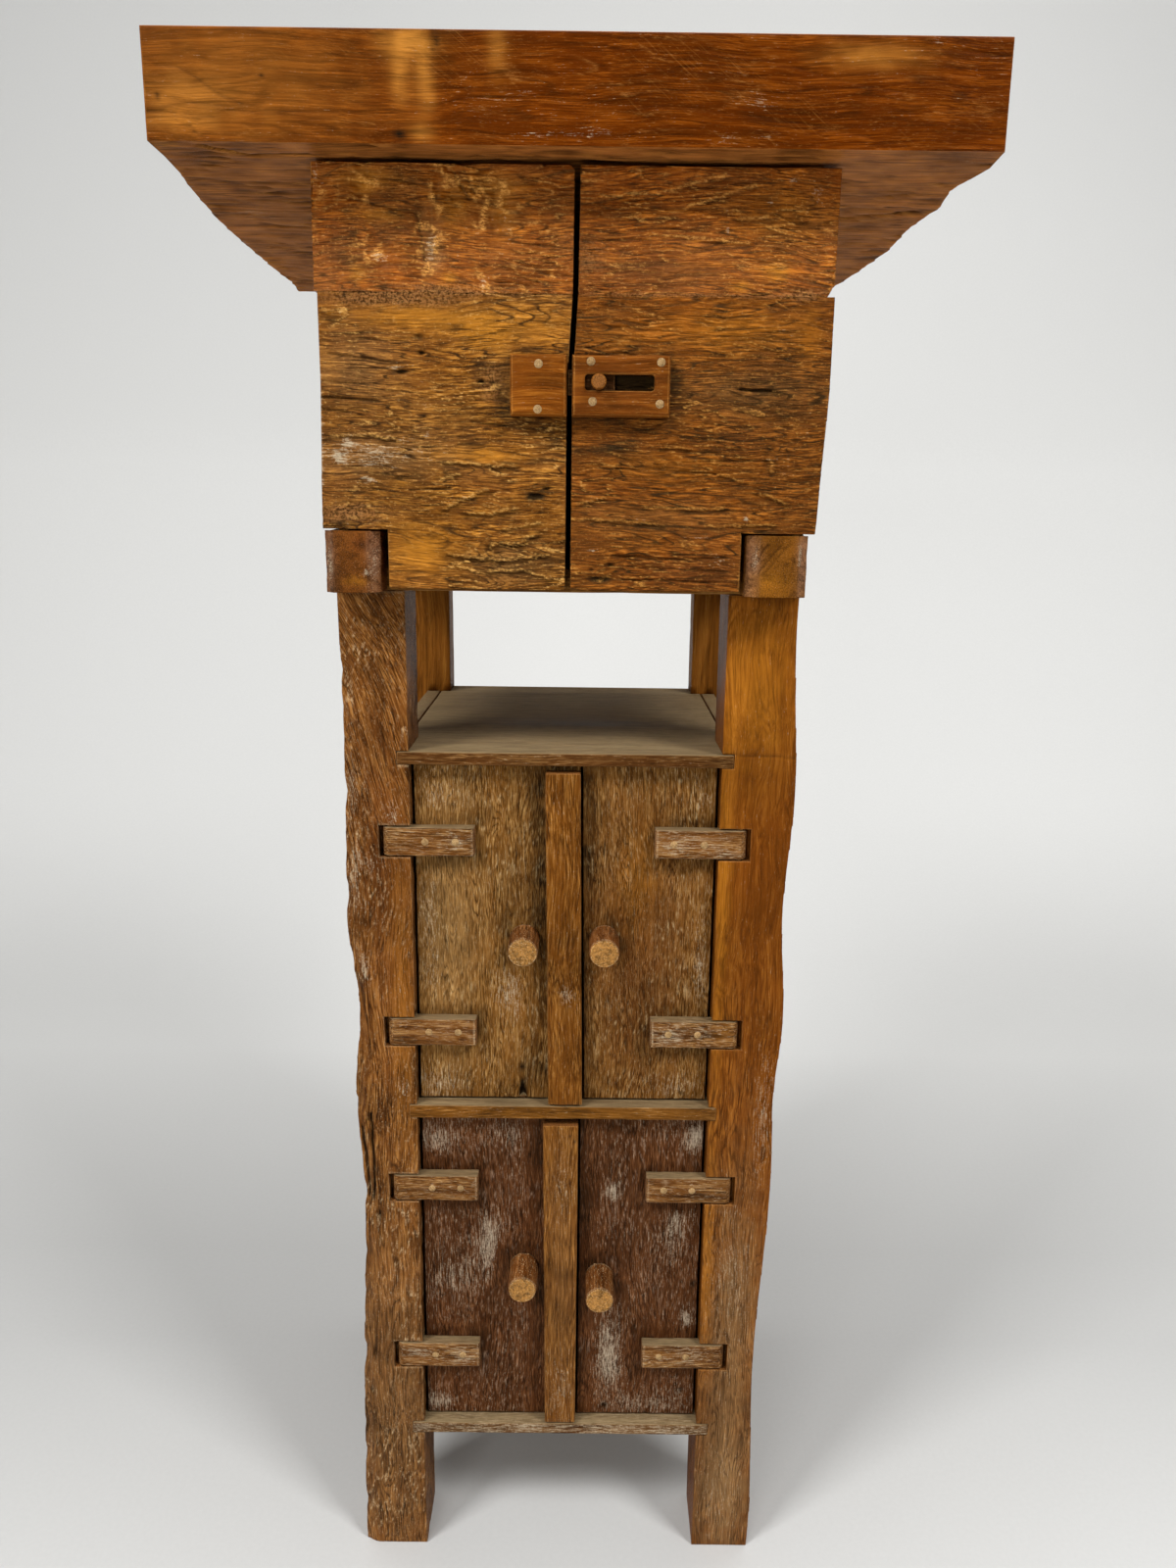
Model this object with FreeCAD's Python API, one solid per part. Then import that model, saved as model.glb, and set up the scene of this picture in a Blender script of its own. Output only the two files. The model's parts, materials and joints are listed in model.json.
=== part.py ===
"""Rustic pedestal cabinet of reclaimed teak, in millimetres.

The origin lies on the floor under the middle of the top slab. +Z is up and the doors face -Y.
Left and right are as seen from the front, so left is -X.
"""
import FreeCAD, Part
import os
from FreeCAD import Vector

# Posts
post_gap = 218.0
post_height = 780.0
frame_depth = 293.0
front_post_depth = 52.0
rear_post_depth = 31.5
# Hewn outer edges of the posts: share of the height, width there
left_post_widths = ((0.0, 50.3), (0.1, 49.8), (0.28, 45.9), (0.45, 43.3), (0.54, 45.9),
                    (0.6, 41.6), (0.675, 47.2), (0.77, 47.0), (0.86, 46.1), (1.0, 47.3))
right_post_widths = ((0.0, 45.5), (0.06, 46.7), (0.2, 43.5), (0.3, 45.4), (0.46, 49.9), (0.525, 48.5),
                     (0.6, 52.7), (0.7, 48.3), (0.82, 52.7), (0.91, 49.4), (1.0, 48.3))
rear_post_widths = ((0.0, 47.5), (0.3, 45.5), (0.65, 48.0), (1.0, 46.5))

# Tenons of the posts, up into the bearers
tenon_inset = 22.0
tenon_width = 18.0
tenon_height = 25.0
tenon_clearance = 0.2
front_tenon_depth = 30.0
rear_tenon_depth = 18.0

# Bearers, from front to back across the posts
bearer_height = 40.5
left_bearer_width = 37.5
right_bearer_width = 41.5
bearer_nose = 28.0
bearer_outer_chamfer = 6.5
bearer_inner_chamfer = 8.5

# Upper box
box_width = 315.0
box_wall = 16.0
side_height = 219.0
floor_thickness = 16.0
floor_rebate = 8.0
side_setback = 1.0
side_front_gap = 3.0

# Top slab: level under its front lip, then falling towards the back
slab_width = 510.0
slab_depth = 407.0
slab_front_thickness = 60.5
slab_back_drop = 20.0
housing_clearance = 0.5
# Hewn ends of the slab: share of the depth from the front, inset from the full width
slab_left_insets = ((0.0, 12.0), (0.085, 10.5), (0.26, 4.0), (0.425, 0.0), (0.53, 0.0),
                    (0.76, 2.5), (0.93, 6.0), (1.0, 3.0))
slab_right_insets = ((0.0, 3.0), (0.09, 0.0), (0.155, 3.5), (0.215, 9.0), (0.3, 5.0), (0.42, 12.0),
                     (0.59, 12.0), (0.77, 21.0), (0.88, 28.0), (1.0, 29.0))

# Dowels that hold the box together
dowel_radius = 4.0
dowel_length = 30.0
dowel_end_inset = 60.0

# Shelves: the niche is measured down from the top of the posts; the lower tier is a little the higher
niche_height = 110.7
tier_difference = 9.3
open_shelf_thickness = 9.3
open_shelf_let_in = 8.5
middle_shelf_thickness = 10.5
middle_shelf_let_in = 6.0
bottom_shelf_top = 118.0
bottom_shelf_thickness = 10.0
bottom_shelf_let_in = 9.5
shelf_proud = 0.5

# Side and back panels of the lower cabinet
side_panel_thickness = 12.0
panel_groove = 8.0
back_panel_thickness = 10.0

# Lower doors
panel_thickness = 12.0
panel_setback = 9.8
panel_side_gap = 1.6
panel_end_gap = 1.5
meeting_gap = 1.3
meeting_ease = 1.5
knob_tenon_radius = 7.0
knob_tenon_length = 9.0
knob_radius = 11.4
knob_taper = 0.4
knob_chamfer = 0.9

# Middle tier
middle_strap_top_inset = 54.5
middle_strap_bottom_inset = 57.5
middle_knob_rise = 128.0
middle_knob_offset = 29.0
middle_knob_length = 29.0
middle_meeting_top = 10.8
middle_meeting_bottom = 14.4
middle_strip_top_width = 24.8
middle_strip_bottom_width = 25.4
middle_strip_top_gap = 3.5

# Lower tier
lower_strap_top_inset = 58.0
lower_strap_bottom_inset = 61.5
lower_left_knob_rise = 136.5
lower_right_knob_rise = 128.0
lower_knob_offset = 29.5
lower_knob_length = 31.5
lower_meeting_top = 11.9
lower_meeting_bottom = 11.7
lower_strip_top_width = 26.6
lower_strip_bottom_width = 24.2
lower_strip_top_gap = 4.0
strip_proud = 1.0

# Wooden strap hinges
strap_length = 65.0
strap_height = 21.2
strap_seat = 20.0
strap_chamfer = 1.2
notch_gap = 1.0
notch_end_gap = 2.5
hinge_pin_radius = 2.2
hinge_pin_seat = 14.0
strap_outer_peg = 30.0
strap_inner_peg = 51.5

# Pegs
peg_radius = 2.75
peg_proud = 0.4
peg_chamfer = 0.5
peg_depth = 9.0

# Upper doors
door_thickness = 24.0
door_top_gap = 2.0
door_bottom_gap = 3.5
door_rest_gap = 0.5
left_tongue_gap = 4.7
right_tongue_gap = 3.0
seam_height = 184.5
upper_meeting_gap = 3.3
# Overhang of the outer edges past the box: at the top, the seam, mid height and the notch
left_overhangs = (-1.5, -0.5, -2.5, -0.2)
right_overhangs = (7.1, 6.5, 7.1, 2.9)
# Meeting edge of the left door: at the top, the seam, the latch and the bottom
meeting_edge = (3.6, 2.8, -0.4, -0.8)
# The left door's top inner corner is worn round, and the right door's outer edge is chipped above the seam
worn_corner_radius = 4.0
chip_width = 4.0
chip_height = 7.0
door_dowel_length = 60.0
door_dowel_inset = 35.0
pivot_radius = 4.0
pivot_in_door = 25.0
pivot_in_frame = 15.0
left_pivot_inset = 12.0
right_pivot_inset = 6.5

# Sliding latch
latch_height = 130.0
plate_thickness = 10.0
plate_height = 36.8
plate_wall = 3.5
plate_chamfer = 1.2
keeper_width = 35.2
keeper_pocket = 7.6
housing_width = 61.0
housing_end_wall = 3.5
slot_rise = 2.0
slot_inset = 8.0
slot_length = 43.0
slot_height = 9.5
slot_corner_radius = 2.0
bolt_length = 29.0
bolt_height = 15.0
bolt_clearance = 0.3
bolt_rest_gap = 0.8
latch_peg_inset = 19.0
latch_peg_shank = 3.7
latch_peg_seat = 4.0
latch_peg_head = 4.7
latch_peg_reach = 7.5
latch_peg_chamfer = 0.7
# Pegs of the plates: right of the plate's left edge, and up from the latch's middle
keeper_peg_places = ((17.7, 12.5), (17.2, -14.3))
housing_peg_places = ((11.6, 14.3), (54.9, 14.2), (12.8, -9.3), (54.6, -10.4))

# Radial clearance of pins, pegs and dowels in their holes
pin_clearance = 0.05

# How far a cut reaches past the face it opens, and how closely an edge is found by its place
overcut = 1.0
edge_tolerance = 0.1

front = -frame_depth / 2
back = frame_depth / 2
inner = post_gap / 2
box_half = box_width / 2
bearer_top = post_height + bearer_height
box_top = bearer_top + side_height
slab_top = box_top + slab_front_thickness
open_shelf_top = post_height - niche_height
tier_room = open_shelf_top - open_shelf_thickness - middle_shelf_thickness - bottom_shelf_top
middle_shelf_top = bottom_shelf_top + (tier_room + tier_difference) / 2 + middle_shelf_thickness
floor_bottom = post_height
floor_top = floor_bottom + floor_thickness
bearer_front = front - bearer_nose
bearer_inner = {-1: box_half - left_bearer_width, 1: box_half - right_bearer_width}
rear_post_front = back - rear_post_depth
back_panel_front = back - back_panel_thickness
shelf_front = front - shelf_proud
panel_inner = inner + max(open_shelf_let_in, middle_shelf_let_in, bottom_shelf_let_in)
panel_outer = panel_inner + side_panel_thickness
panel_bottom = bottom_shelf_top - bottom_shelf_thickness
panel_front = front + panel_setback
panel_rear = panel_front + panel_thickness
strap_thickness = panel_setback
strap_outer = inner + strap_seat
hinge_x = strap_outer - strap_thickness / 2
hinge_y = front + strap_thickness / 2
side_front = front + side_setback
door_rear = side_front - side_front_gap
door_front = door_rear - door_thickness
pivot_y = door_front + door_thickness / 2
pivot_x = {-1: left_pivot_inset - box_half, 1: box_half - right_pivot_inset}
door_top = box_top - door_top_gap
door_bottom = post_height + door_bottom_gap
notch_top = bearer_top + door_rest_gap
seam = post_height + seam_height
latch_z = post_height + latch_height
bolt_z = latch_z + slot_rise
plate_front = door_front - plate_thickness

SIDES = {-1: "left", 1: "right"}
SHELVES = {
    "open_shelf": (open_shelf_top, open_shelf_thickness, open_shelf_let_in),
    "middle_shelf": (middle_shelf_top, middle_shelf_thickness, middle_shelf_let_in),
    "bottom_shelf": (bottom_shelf_top, bottom_shelf_thickness, bottom_shelf_let_in),
}
TIERS = {
    "middle": {
        "bottom": middle_shelf_top + panel_end_gap,
        "top": open_shelf_top - open_shelf_thickness - panel_end_gap,
        "strap_insets": (middle_strap_bottom_inset, middle_strap_top_inset),
        "knob": (middle_knob_offset, middle_knob_length),
        "knob_rises": {-1: middle_knob_rise, 1: middle_knob_rise},
        "meeting": (middle_meeting_bottom, middle_meeting_top),
        "strip": (middle_strip_bottom_width, middle_strip_top_width, middle_strip_top_gap),
    },
    "lower": {
        "bottom": bottom_shelf_top + panel_end_gap,
        "top": middle_shelf_top - middle_shelf_thickness - panel_end_gap,
        "strap_insets": (lower_strap_bottom_inset, lower_strap_top_inset),
        "knob": (lower_knob_offset, lower_knob_length),
        "knob_rises": {-1: lower_left_knob_rise, 1: lower_right_knob_rise},
        "meeting": (lower_meeting_bottom, lower_meeting_top),
        "strip": (lower_strip_bottom_width, lower_strip_top_width, lower_strip_top_gap),
    },
}


def block(x0, x1, y0, y1, z0, z1):
    """A box between two corners, in any order of the X values."""
    left, right = sorted((x0, x1))
    return Part.makeBox(right - left, y1 - y0, z1 - z0, Vector(left, y0, z0))


def rod(x, y, z, radius, length, axis):
    return Part.makeCylinder(radius, length, Vector(x, y, z), Vector(*axis))


def board(outline, y0, y1):
    """A flat board from its outline of (x, z) points, from y0 back to y1."""
    points = [Vector(x, y0, z) for x, z in outline]
    wire = Part.makePolygon(points + points[:1])
    return Part.Face(wire).extrude(Vector(0, y1 - y0, 0))


def carve(solid, tools):
    return solid.cut(tuple(tools)).Solids[0]


def edges_at(solid, **places):
    """Edges of a solid that keep to the given places, such as X=0 and Z=10."""
    def keeps(edge, axis, place):
        low = getattr(edge.BoundBox, axis + "Min")
        high = getattr(edge.BoundBox, axis + "Max")
        return abs(low - place) + abs(high - place) < edge_tolerance

    return [edge for edge in solid.Edges if all(keeps(edge, *item) for item in places.items())]


def save(node, *solids):
    shape = solids[0] if len(solids) == 1 else Part.makeCompound(list(solids))
    shape.exportStep(f"parts/{node}.step")


def strap_heights(tier):
    low, high = tier["strap_insets"]
    return tier["bottom"] + low, tier["top"] - high


def shelf_housings(side, y0, y1):
    """Grooves across a post's inner face that the shelves are let into."""
    return [block(side * (inner - overcut), side * (inner + let_in), y0, y1, top - thickness, top)
            for top, thickness, let_in in SHELVES.values()]


def hewn_post(side, widths, y0, y1):
    """A post with a sawn inner face and a hewn, wavy outer one."""
    edge = [Vector(side * (inner + width), y0, share * post_height) for share, width in widths]
    foot = Vector(side * inner, y0, 0)
    head = Vector(side * inner, y0, post_height)
    curve = Part.BSplineCurve()
    curve.interpolate(edge)
    edges = [curve.toShape(), Part.makeLine(edge[-1], head), Part.makeLine(head, foot),
             Part.makeLine(foot, edge[0])]
    return Part.Face(Part.Wire(edges)).extrude(Vector(0, y1 - y0, 0))


def tenon(side, y0, y1, depth, clearance):
    middle = (y0 + y1) / 2
    return block(side * (inner + tenon_inset - clearance),
                 side * (inner + tenon_inset + tenon_width + clearance),
                 middle - depth / 2 - clearance, middle + depth / 2 + clearance,
                 post_height, post_height + tenon_height + clearance)


def front_tenon(side, clearance):
    return tenon(side, front, front + front_post_depth, front_tenon_depth, clearance)


def rear_tenon(side, clearance):
    return tenon(side, rear_post_front, back, rear_tenon_depth, clearance)


def hinge_pin(side, z, clearance):
    """Upright pin through a strap's knuckle, seated in the post above and below the notch."""
    half = strap_height / 2 + notch_gap + hinge_pin_seat + clearance
    return rod(side * hinge_x, hinge_y, z - half, hinge_pin_radius + clearance, 2 * half, (0, 0, 1))


def strap_notch(side, z):
    half = strap_height / 2 + notch_gap
    return block(side * (inner - overcut), side * (strap_outer + notch_end_gap),
                 front - overcut, panel_front + notch_gap, z - half, z + half)


def front_post(side):
    post_back = front + front_post_depth
    widths = left_post_widths if side < 0 else right_post_widths
    post = hewn_post(side, widths, front, post_back).fuse(front_tenon(side, 0))
    cuts = shelf_housings(side, front - overcut, post_back + overcut)
    cuts.append(block(side * panel_inner, side * panel_outer, post_back - panel_groove,
                      post_back + overcut, panel_bottom, open_shelf_top))
    for tier in TIERS.values():
        for z in strap_heights(tier):
            cuts += [strap_notch(side, z), hinge_pin(side, z, pin_clearance)]
    return carve(post, cuts)


def rear_post(side):
    post = hewn_post(side, rear_post_widths, rear_post_front, back).fuse(rear_tenon(side, 0))
    cuts = shelf_housings(side, rear_post_front - overcut, back_panel_front)
    cuts.append(block(side * panel_inner, side * panel_outer, rear_post_front - overcut,
                      rear_post_front + panel_groove, panel_bottom, open_shelf_top))
    cuts.append(block(side * (inner - overcut), side * (inner + panel_groove), back_panel_front,
                      back + overcut, panel_bottom, open_shelf_top))
    return carve(post, cuts)


def side_dowels(side, z, clearance):
    """Two upright dowels in the edge of an upper side panel, half above and half below z."""
    x = side * (box_half - box_wall / 2)
    half = dowel_length / 2 + clearance
    ends = (side_front + dowel_end_inset, back - box_wall - dowel_end_inset)
    return [rod(x, y, z - half, dowel_radius + clearance, 2 * half, (0, 0, 1)) for y in ends]


def pivot(side, z0, z1, clearance):
    return rod(pivot_x[side], pivot_y, z0 - clearance, pivot_radius + clearance,
               z1 - z0 + 2 * clearance, (0, 0, 1))


def lower_pivot(side, clearance):
    return pivot(side, bearer_top - pivot_in_frame, notch_top + pivot_in_door, clearance)


def upper_pivot(side, clearance):
    return pivot(side, door_top - pivot_in_door, box_top + pivot_in_frame, clearance)


def bearer(side):
    """Bearer with a chamfered nose, mortised over both posts and rebated for the floor."""
    beam = block(side * bearer_inner[side], side * box_half, bearer_front, back, post_height, bearer_top)
    for x, size in ((box_half, bearer_outer_chamfer), (bearer_inner[side], bearer_inner_chamfer)):
        beam = beam.makeChamfer(size, edges_at(beam, X=side * x, Y=bearer_front))
    rebate = block(side * (bearer_inner[side] - overcut), side * (bearer_inner[side] + floor_rebate),
                   side_front, back - box_wall, floor_bottom - overcut, floor_top)
    cuts = [front_tenon(side, tenon_clearance), rear_tenon(side, tenon_clearance), rebate,
            lower_pivot(side, pin_clearance)]
    return carve(beam, cuts + side_dowels(side, bearer_top, pin_clearance))


def upper_side(side):
    panel = block(side * (box_half - box_wall), side * box_half, side_front, back - box_wall,
                  bearer_top, box_top)
    return carve(panel, side_dowels(side, bearer_top, pin_clearance)
                 + side_dowels(side, box_top, pin_clearance))


def upper_back():
    """Back of the upper box, with a tongue that drops between the bearers."""
    left, right = -bearer_inner[-1], bearer_inner[1]
    outline = [(-box_half, box_top), (box_half, box_top), (box_half, bearer_top), (right, bearer_top),
               (right, floor_bottom), (left, floor_bottom), (left, bearer_top), (-box_half, bearer_top)]
    return board(outline, back - box_wall, back)


def upper_floor():
    return block(-bearer_inner[-1] - floor_rebate, bearer_inner[1] + floor_rebate,
                 side_front, back - box_wall, floor_bottom, floor_top)


def top_slab():
    """Thick slab with hewn ends, housed over the upper box."""
    half_width, half_depth = slab_width / 2, slab_depth / 2
    left = [Vector(inset - half_width, share * slab_depth - half_depth, 0)
            for share, inset in slab_left_insets]
    right = [Vector(half_width - inset, share * slab_depth - half_depth, 0)
             for share, inset in slab_right_insets]
    plan = right + left[::-1]
    blank = Part.Face(Part.makePolygon(plan + plan[:1])).extrude(Vector(0, 0, slab_top))
    profile = [(-half_depth, slab_top), (half_depth, slab_top), (half_depth, box_top - slab_back_drop),
               (front, box_top), (-half_depth, box_top)]
    points = [Vector(-slab_width, y, z) for y, z in profile]
    section = Part.Face(Part.makePolygon(points + points[:1])).extrude(Vector(2 * slab_width, 0, 0))
    housing = block(-box_half - housing_clearance, box_half + housing_clearance,
                    front, back + housing_clearance, 0, box_top)
    cuts = [housing]
    for side in SIDES:
        cuts += [upper_pivot(side, pin_clearance)] + side_dowels(side, box_top, pin_clearance)
    return carve(blank.common(section).Solids[0], cuts)


def side_panel(side):
    return block(side * panel_inner, side * panel_outer, front + front_post_depth - panel_groove,
                 rear_post_front + panel_groove, panel_bottom, open_shelf_top)


def back_panel():
    reach = inner + panel_groove
    return block(-reach, reach, back_panel_front, back, panel_bottom, open_shelf_top)


def shelf(top, thickness, let_in):
    reach = inner + let_in
    return block(-reach, reach, shelf_front, back_panel_front, top - thickness, top)


def peg(x, z, face, bottom):
    """Wooden peg driven in from the front, its rounded head just proud of the face."""
    head = face - peg_proud
    body = rod(x, head, z, peg_radius, bottom - head, (0, 1, 0))
    return body.makeChamfer(peg_chamfer, edges_at(body, Y=head))


def peg_hole(x, z, face, bottom):
    mouth = face - overcut
    return rod(x, mouth, z, peg_radius + pin_clearance, bottom - mouth + pin_clearance, (0, 1, 0))


def strap_peg_places(side, tier):
    return [(side * (strap_outer - inset), z) for z in strap_heights(tier)
            for inset in (strap_outer_peg, strap_inner_peg)]


def knob(x, z, length):
    """Turned dowel knob with a round tenon into the door."""
    body = Part.makeCone(knob_radius, knob_radius - knob_taper, length, Vector(x, panel_front, z),
                         Vector(0, -1, 0))
    stem = rod(x, panel_front, z, knob_tenon_radius, knob_tenon_length, (0, 1, 0))
    return body.makeChamfer(knob_chamfer, edges_at(body, Y=panel_front - length)).fuse(stem).Solids[0]


def knob_hole(x, z):
    return rod(x, panel_front - overcut, z, knob_tenon_radius + pin_clearance,
               knob_tenon_length + overcut + pin_clearance, (0, 1, 0))


def lower_panel(side, tier, holes):
    """One lower door: its meeting edge leans with the cover strip and falls away behind."""
    gap = 0 if side < 0 else meeting_gap
    low, high = [x + gap for x in tier["meeting"]]
    bottom, top = tier["bottom"], tier["top"]
    hinge_edge = side * (inner - panel_side_gap)
    outline = [(hinge_edge, bottom), (low, bottom), (high, top), (hinge_edge, top)]
    foot = [Vector(low, panel_front, bottom), Vector(low, panel_rear, bottom),
            Vector(low + side * meeting_ease, panel_rear, bottom)]
    wedge = Part.Face(Part.makePolygon(foot + foot[:1])).extrude(Vector(high - low, 0, top - bottom))
    return carve(board(outline, panel_front, panel_rear), [wedge] + holes)


def cover_strip(tier):
    """Strip on the left door, flush with its meeting edge."""
    low_edge, high_edge = tier["meeting"]
    low_width, high_width, top_gap = tier["strip"]
    outline = [(low_edge - low_width, tier["bottom"]), (low_edge, tier["bottom"]),
               (high_edge, tier["top"] - top_gap), (high_edge - high_width, tier["top"] - top_gap)]
    return board(outline, front - strip_proud, panel_front)


def strap(side, z, peg_places):
    """Wooden strap hinge: half-round knuckle at its outer end, eased at its free end."""
    free_end = side * (strap_outer - strap_length)
    ease = side * strap_chamfer
    z0 = z - strap_height / 2
    front_corner = Vector(side * hinge_x, front, z0)
    rear_corner = Vector(side * hinge_x, panel_front, z0)
    tip = Vector(side * strap_outer, hinge_y, z0)
    path = [rear_corner, Vector(free_end, panel_front, z0), Vector(free_end, front + strap_chamfer, z0),
            Vector(free_end + ease, front, z0), front_corner]
    edges = [Part.makeLine(a, b) for a, b in zip(path, path[1:])]
    edges.append(Part.Arc(front_corner, tip, rear_corner).toShape())
    bar = Part.Face(Part.Wire(edges)).extrude(Vector(0, 0, strap_height))
    holes = [peg_hole(x, peg_z, front, panel_front + overcut) for x, peg_z in peg_places]
    return carve(bar, holes + [hinge_pin(side, z, pin_clearance)])


def make_lower_door(tier_name, side):
    tier = TIERS[tier_name]
    name = f"{tier_name}_{SIDES[side]}_door"
    places = strap_peg_places(side, tier)
    offset, length = tier["knob"]
    knob_x, knob_z = side * offset, tier["bottom"] + tier["knob_rises"][side]
    bottom = panel_front + peg_depth
    holes = [peg_hole(x, z, panel_front, bottom) for x, z in places] + [knob_hole(knob_x, knob_z)]
    save(f"{name}_panel", lower_panel(side, tier, holes))
    for level, z in zip(("bottom", "top"), strap_heights(tier)):
        own = [place for place in places if place[1] == z]
        save(f"{name}_{level}_strap", strap(side, z, own))
    save(f"{name}_strap_pegs", *[peg(x, z, front, bottom) for x, z in places])
    save(f"{name}_knob", knob(knob_x, knob_z, length))


def rounded_back_edge(side):
    """What is cut from a door's outer back edge so that it turns clear of the box."""
    overhang = max(left_overhangs if side < 0 else right_overhangs)
    radius = box_half + overhang - abs(pivot_x[side])
    outside = pivot_x[side] + side * 2 * door_thickness
    corner = block(pivot_x[side], outside, pivot_y, door_rear + overcut, 0, slab_top)
    return corner.cut(rod(pivot_x[side], pivot_y, 0, radius, slab_top, (0, 0, 1)))


def door_dowels(side, clearance):
    """Two dowels across the seam between a door's boards."""
    near = side * (box_half - door_dowel_inset)
    far = side * door_dowel_inset
    half = door_dowel_length / 2 + clearance
    return [rod(x, pivot_y, seam - half, dowel_radius + clearance, 2 * half, (0, 0, 1)) for x in (near, far)]


def upper_door_boards(side, peg_places):
    """Top and bottom boards of an upper door; the bottom one is notched round the bearer's nose."""
    shift = 0 if side < 0 else upper_meeting_gap
    at_top, at_seam, at_latch, at_bottom = [x + shift for x in meeting_edge]
    overhangs = left_overhangs if side < 0 else right_overhangs
    outer_top, outer_seam, outer_middle, outer_notch = [side * (box_half + value) for value in overhangs]
    tongue_gap = left_tongue_gap if side < 0 else right_tongue_gap
    tongue = side * (bearer_inner[side] - tongue_gap)
    top = [(outer_top, door_top), (at_top, door_top), (at_seam, seam), (outer_seam, seam)]
    if side > 0:
        top[-1:] = [(outer_seam - chip_width, seam), (outer_seam, seam + chip_height)]
    bottom = [(outer_middle, seam), (at_seam, seam), (at_latch, latch_z), (at_bottom, door_bottom),
              (tongue, door_bottom), (tongue, notch_top), (outer_notch, notch_top), (outer_middle, latch_z)]
    edge = rounded_back_edge(side)
    seam_holes = door_dowels(side, pin_clearance)
    pegs = [peg_hole(x, z, door_front, door_front + peg_depth) for x, z in peg_places]
    upper = board(top, door_front, door_rear)
    if side < 0:
        upper = upper.makeFillet(worn_corner_radius, edges_at(upper, X=at_top, Z=door_top))
    upper = carve(upper, seam_holes + [edge, upper_pivot(side, pin_clearance)])
    lower = carve(board(bottom, door_front, door_rear),
                  seam_holes + [edge, lower_pivot(side, pin_clearance)] + pegs)
    return upper, lower


def plate(x0, x1):
    """Latch plate on a door's face, with eased front edges."""
    low = latch_z - plate_height / 2
    blank = block(x0, x1, plate_front, door_front, low, low + plate_height)
    return blank.makeChamfer(plate_chamfer, edges_at(blank, Y=plate_front))


def channel(x0, x1):
    """Space behind a plate's front wall for the bolt."""
    half = bolt_height / 2 + bolt_clearance
    return block(x0, x1, plate_front + plate_wall, door_front, bolt_z - half, bolt_z + half)


keeper_right = meeting_edge[2]
keeper_left = keeper_right - keeper_width
housing_left = keeper_right + upper_meeting_gap
housing_right = housing_left + housing_width
bolt_tip = keeper_right + bolt_rest_gap
keeper_pegs = [(keeper_left + x, latch_z + z) for x, z in keeper_peg_places]
housing_pegs = [(housing_left + x, latch_z + z) for x, z in housing_peg_places]


def latch_keeper():
    pocket = channel(keeper_right - keeper_pocket, keeper_right + overcut)
    holes = [peg_hole(x, z, plate_front, door_front + overcut) for x, z in keeper_pegs]
    return carve(plate(keeper_left, keeper_right), [pocket] + holes)


def latch_slot():
    """What is cut from the housing's front for the finger peg, with round corners."""
    ends = (housing_left + slot_inset, housing_left + slot_inset + slot_length)
    levels = (bolt_z - slot_height / 2, bolt_z + slot_height / 2)
    slot = block(*ends, plate_front - overcut, door_front, *levels)
    corners = [edge for x in ends for z in levels for edge in edges_at(slot, X=x, Z=z)]
    return slot.makeFillet(slot_corner_radius, corners)


def latch_housing():
    run = channel(housing_left - overcut, housing_right - housing_end_wall)
    holes = [peg_hole(x, z, plate_front, door_front + overcut) for x, z in housing_pegs]
    return carve(plate(housing_left, housing_right), [run, latch_slot()] + holes)


def latch_bolt():
    half = bolt_height / 2
    bar = block(bolt_tip, bolt_tip + bolt_length, plate_front + plate_wall + bolt_clearance,
                door_front - bolt_clearance, bolt_z - half, bolt_z + half)
    seat = plate_front + plate_wall + bolt_clearance
    hole = rod(bolt_tip + latch_peg_inset, seat - overcut, bolt_z, latch_peg_shank + pin_clearance,
               latch_peg_seat + overcut + pin_clearance, (0, 1, 0))
    return carve(bar, [hole])


def latch_peg():
    """Finger peg: a shank through the slot and a wider round head in front of the plate."""
    x = bolt_tip + latch_peg_inset
    seat = plate_front + plate_wall + bolt_clearance + latch_peg_seat
    neck = plate_front - bolt_clearance
    tip = neck - latch_peg_reach
    head = rod(x, tip, bolt_z, latch_peg_head, latch_peg_reach, (0, 1, 0))
    shank = rod(x, neck, bolt_z, latch_peg_shank, seat - neck, (0, 1, 0))
    return head.makeChamfer(latch_peg_chamfer, edges_at(head, Y=tip)).fuse(shank).Solids[0]


def make_upper_door(side, peg_places):
    name = f"upper_{SIDES[side]}_door"
    upper, lower = upper_door_boards(side, peg_places)
    save(f"{name}_top_board", upper)
    save(f"{name}_bottom_board", lower)
    save(f"{name}_dowels", *door_dowels(side, 0))
    save(f"{name}_pivots", upper_pivot(side, 0), lower_pivot(side, 0))


def make_stand():
    for side, word in SIDES.items():
        save(f"front_post_{word}", front_post(side))
        save(f"rear_post_{word}", rear_post(side))
        save(f"bearer_{word}", bearer(side))
        save(f"upper_side_{word}", upper_side(side))
        save(f"side_panel_{word}", side_panel(side))
    for name, sizes in SHELVES.items():
        save(name, shelf(*sizes))
    save("back_panel", back_panel())
    save("upper_floor", upper_floor())
    save("upper_back", upper_back())
    save("top_slab", top_slab())
    save("box_dowels", *[dowel for side in SIDES for z in (bearer_top, box_top)
                         for dowel in side_dowels(side, z, 0)])
    save("hinge_pins", *[hinge_pin(side, z, 0) for side in SIDES for tier in TIERS.values()
                         for z in strap_heights(tier)])


def make_latch():
    peg_bottom = door_front + peg_depth
    save("latch_keeper", latch_keeper())
    save("keeper_pegs", *[peg(x, z, plate_front, peg_bottom) for x, z in keeper_pegs])
    save("latch_housing", latch_housing())
    save("housing_pegs", *[peg(x, z, plate_front, peg_bottom) for x, z in housing_pegs])
    save("latch_bolt", latch_bolt())
    save("latch_peg", latch_peg())


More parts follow.
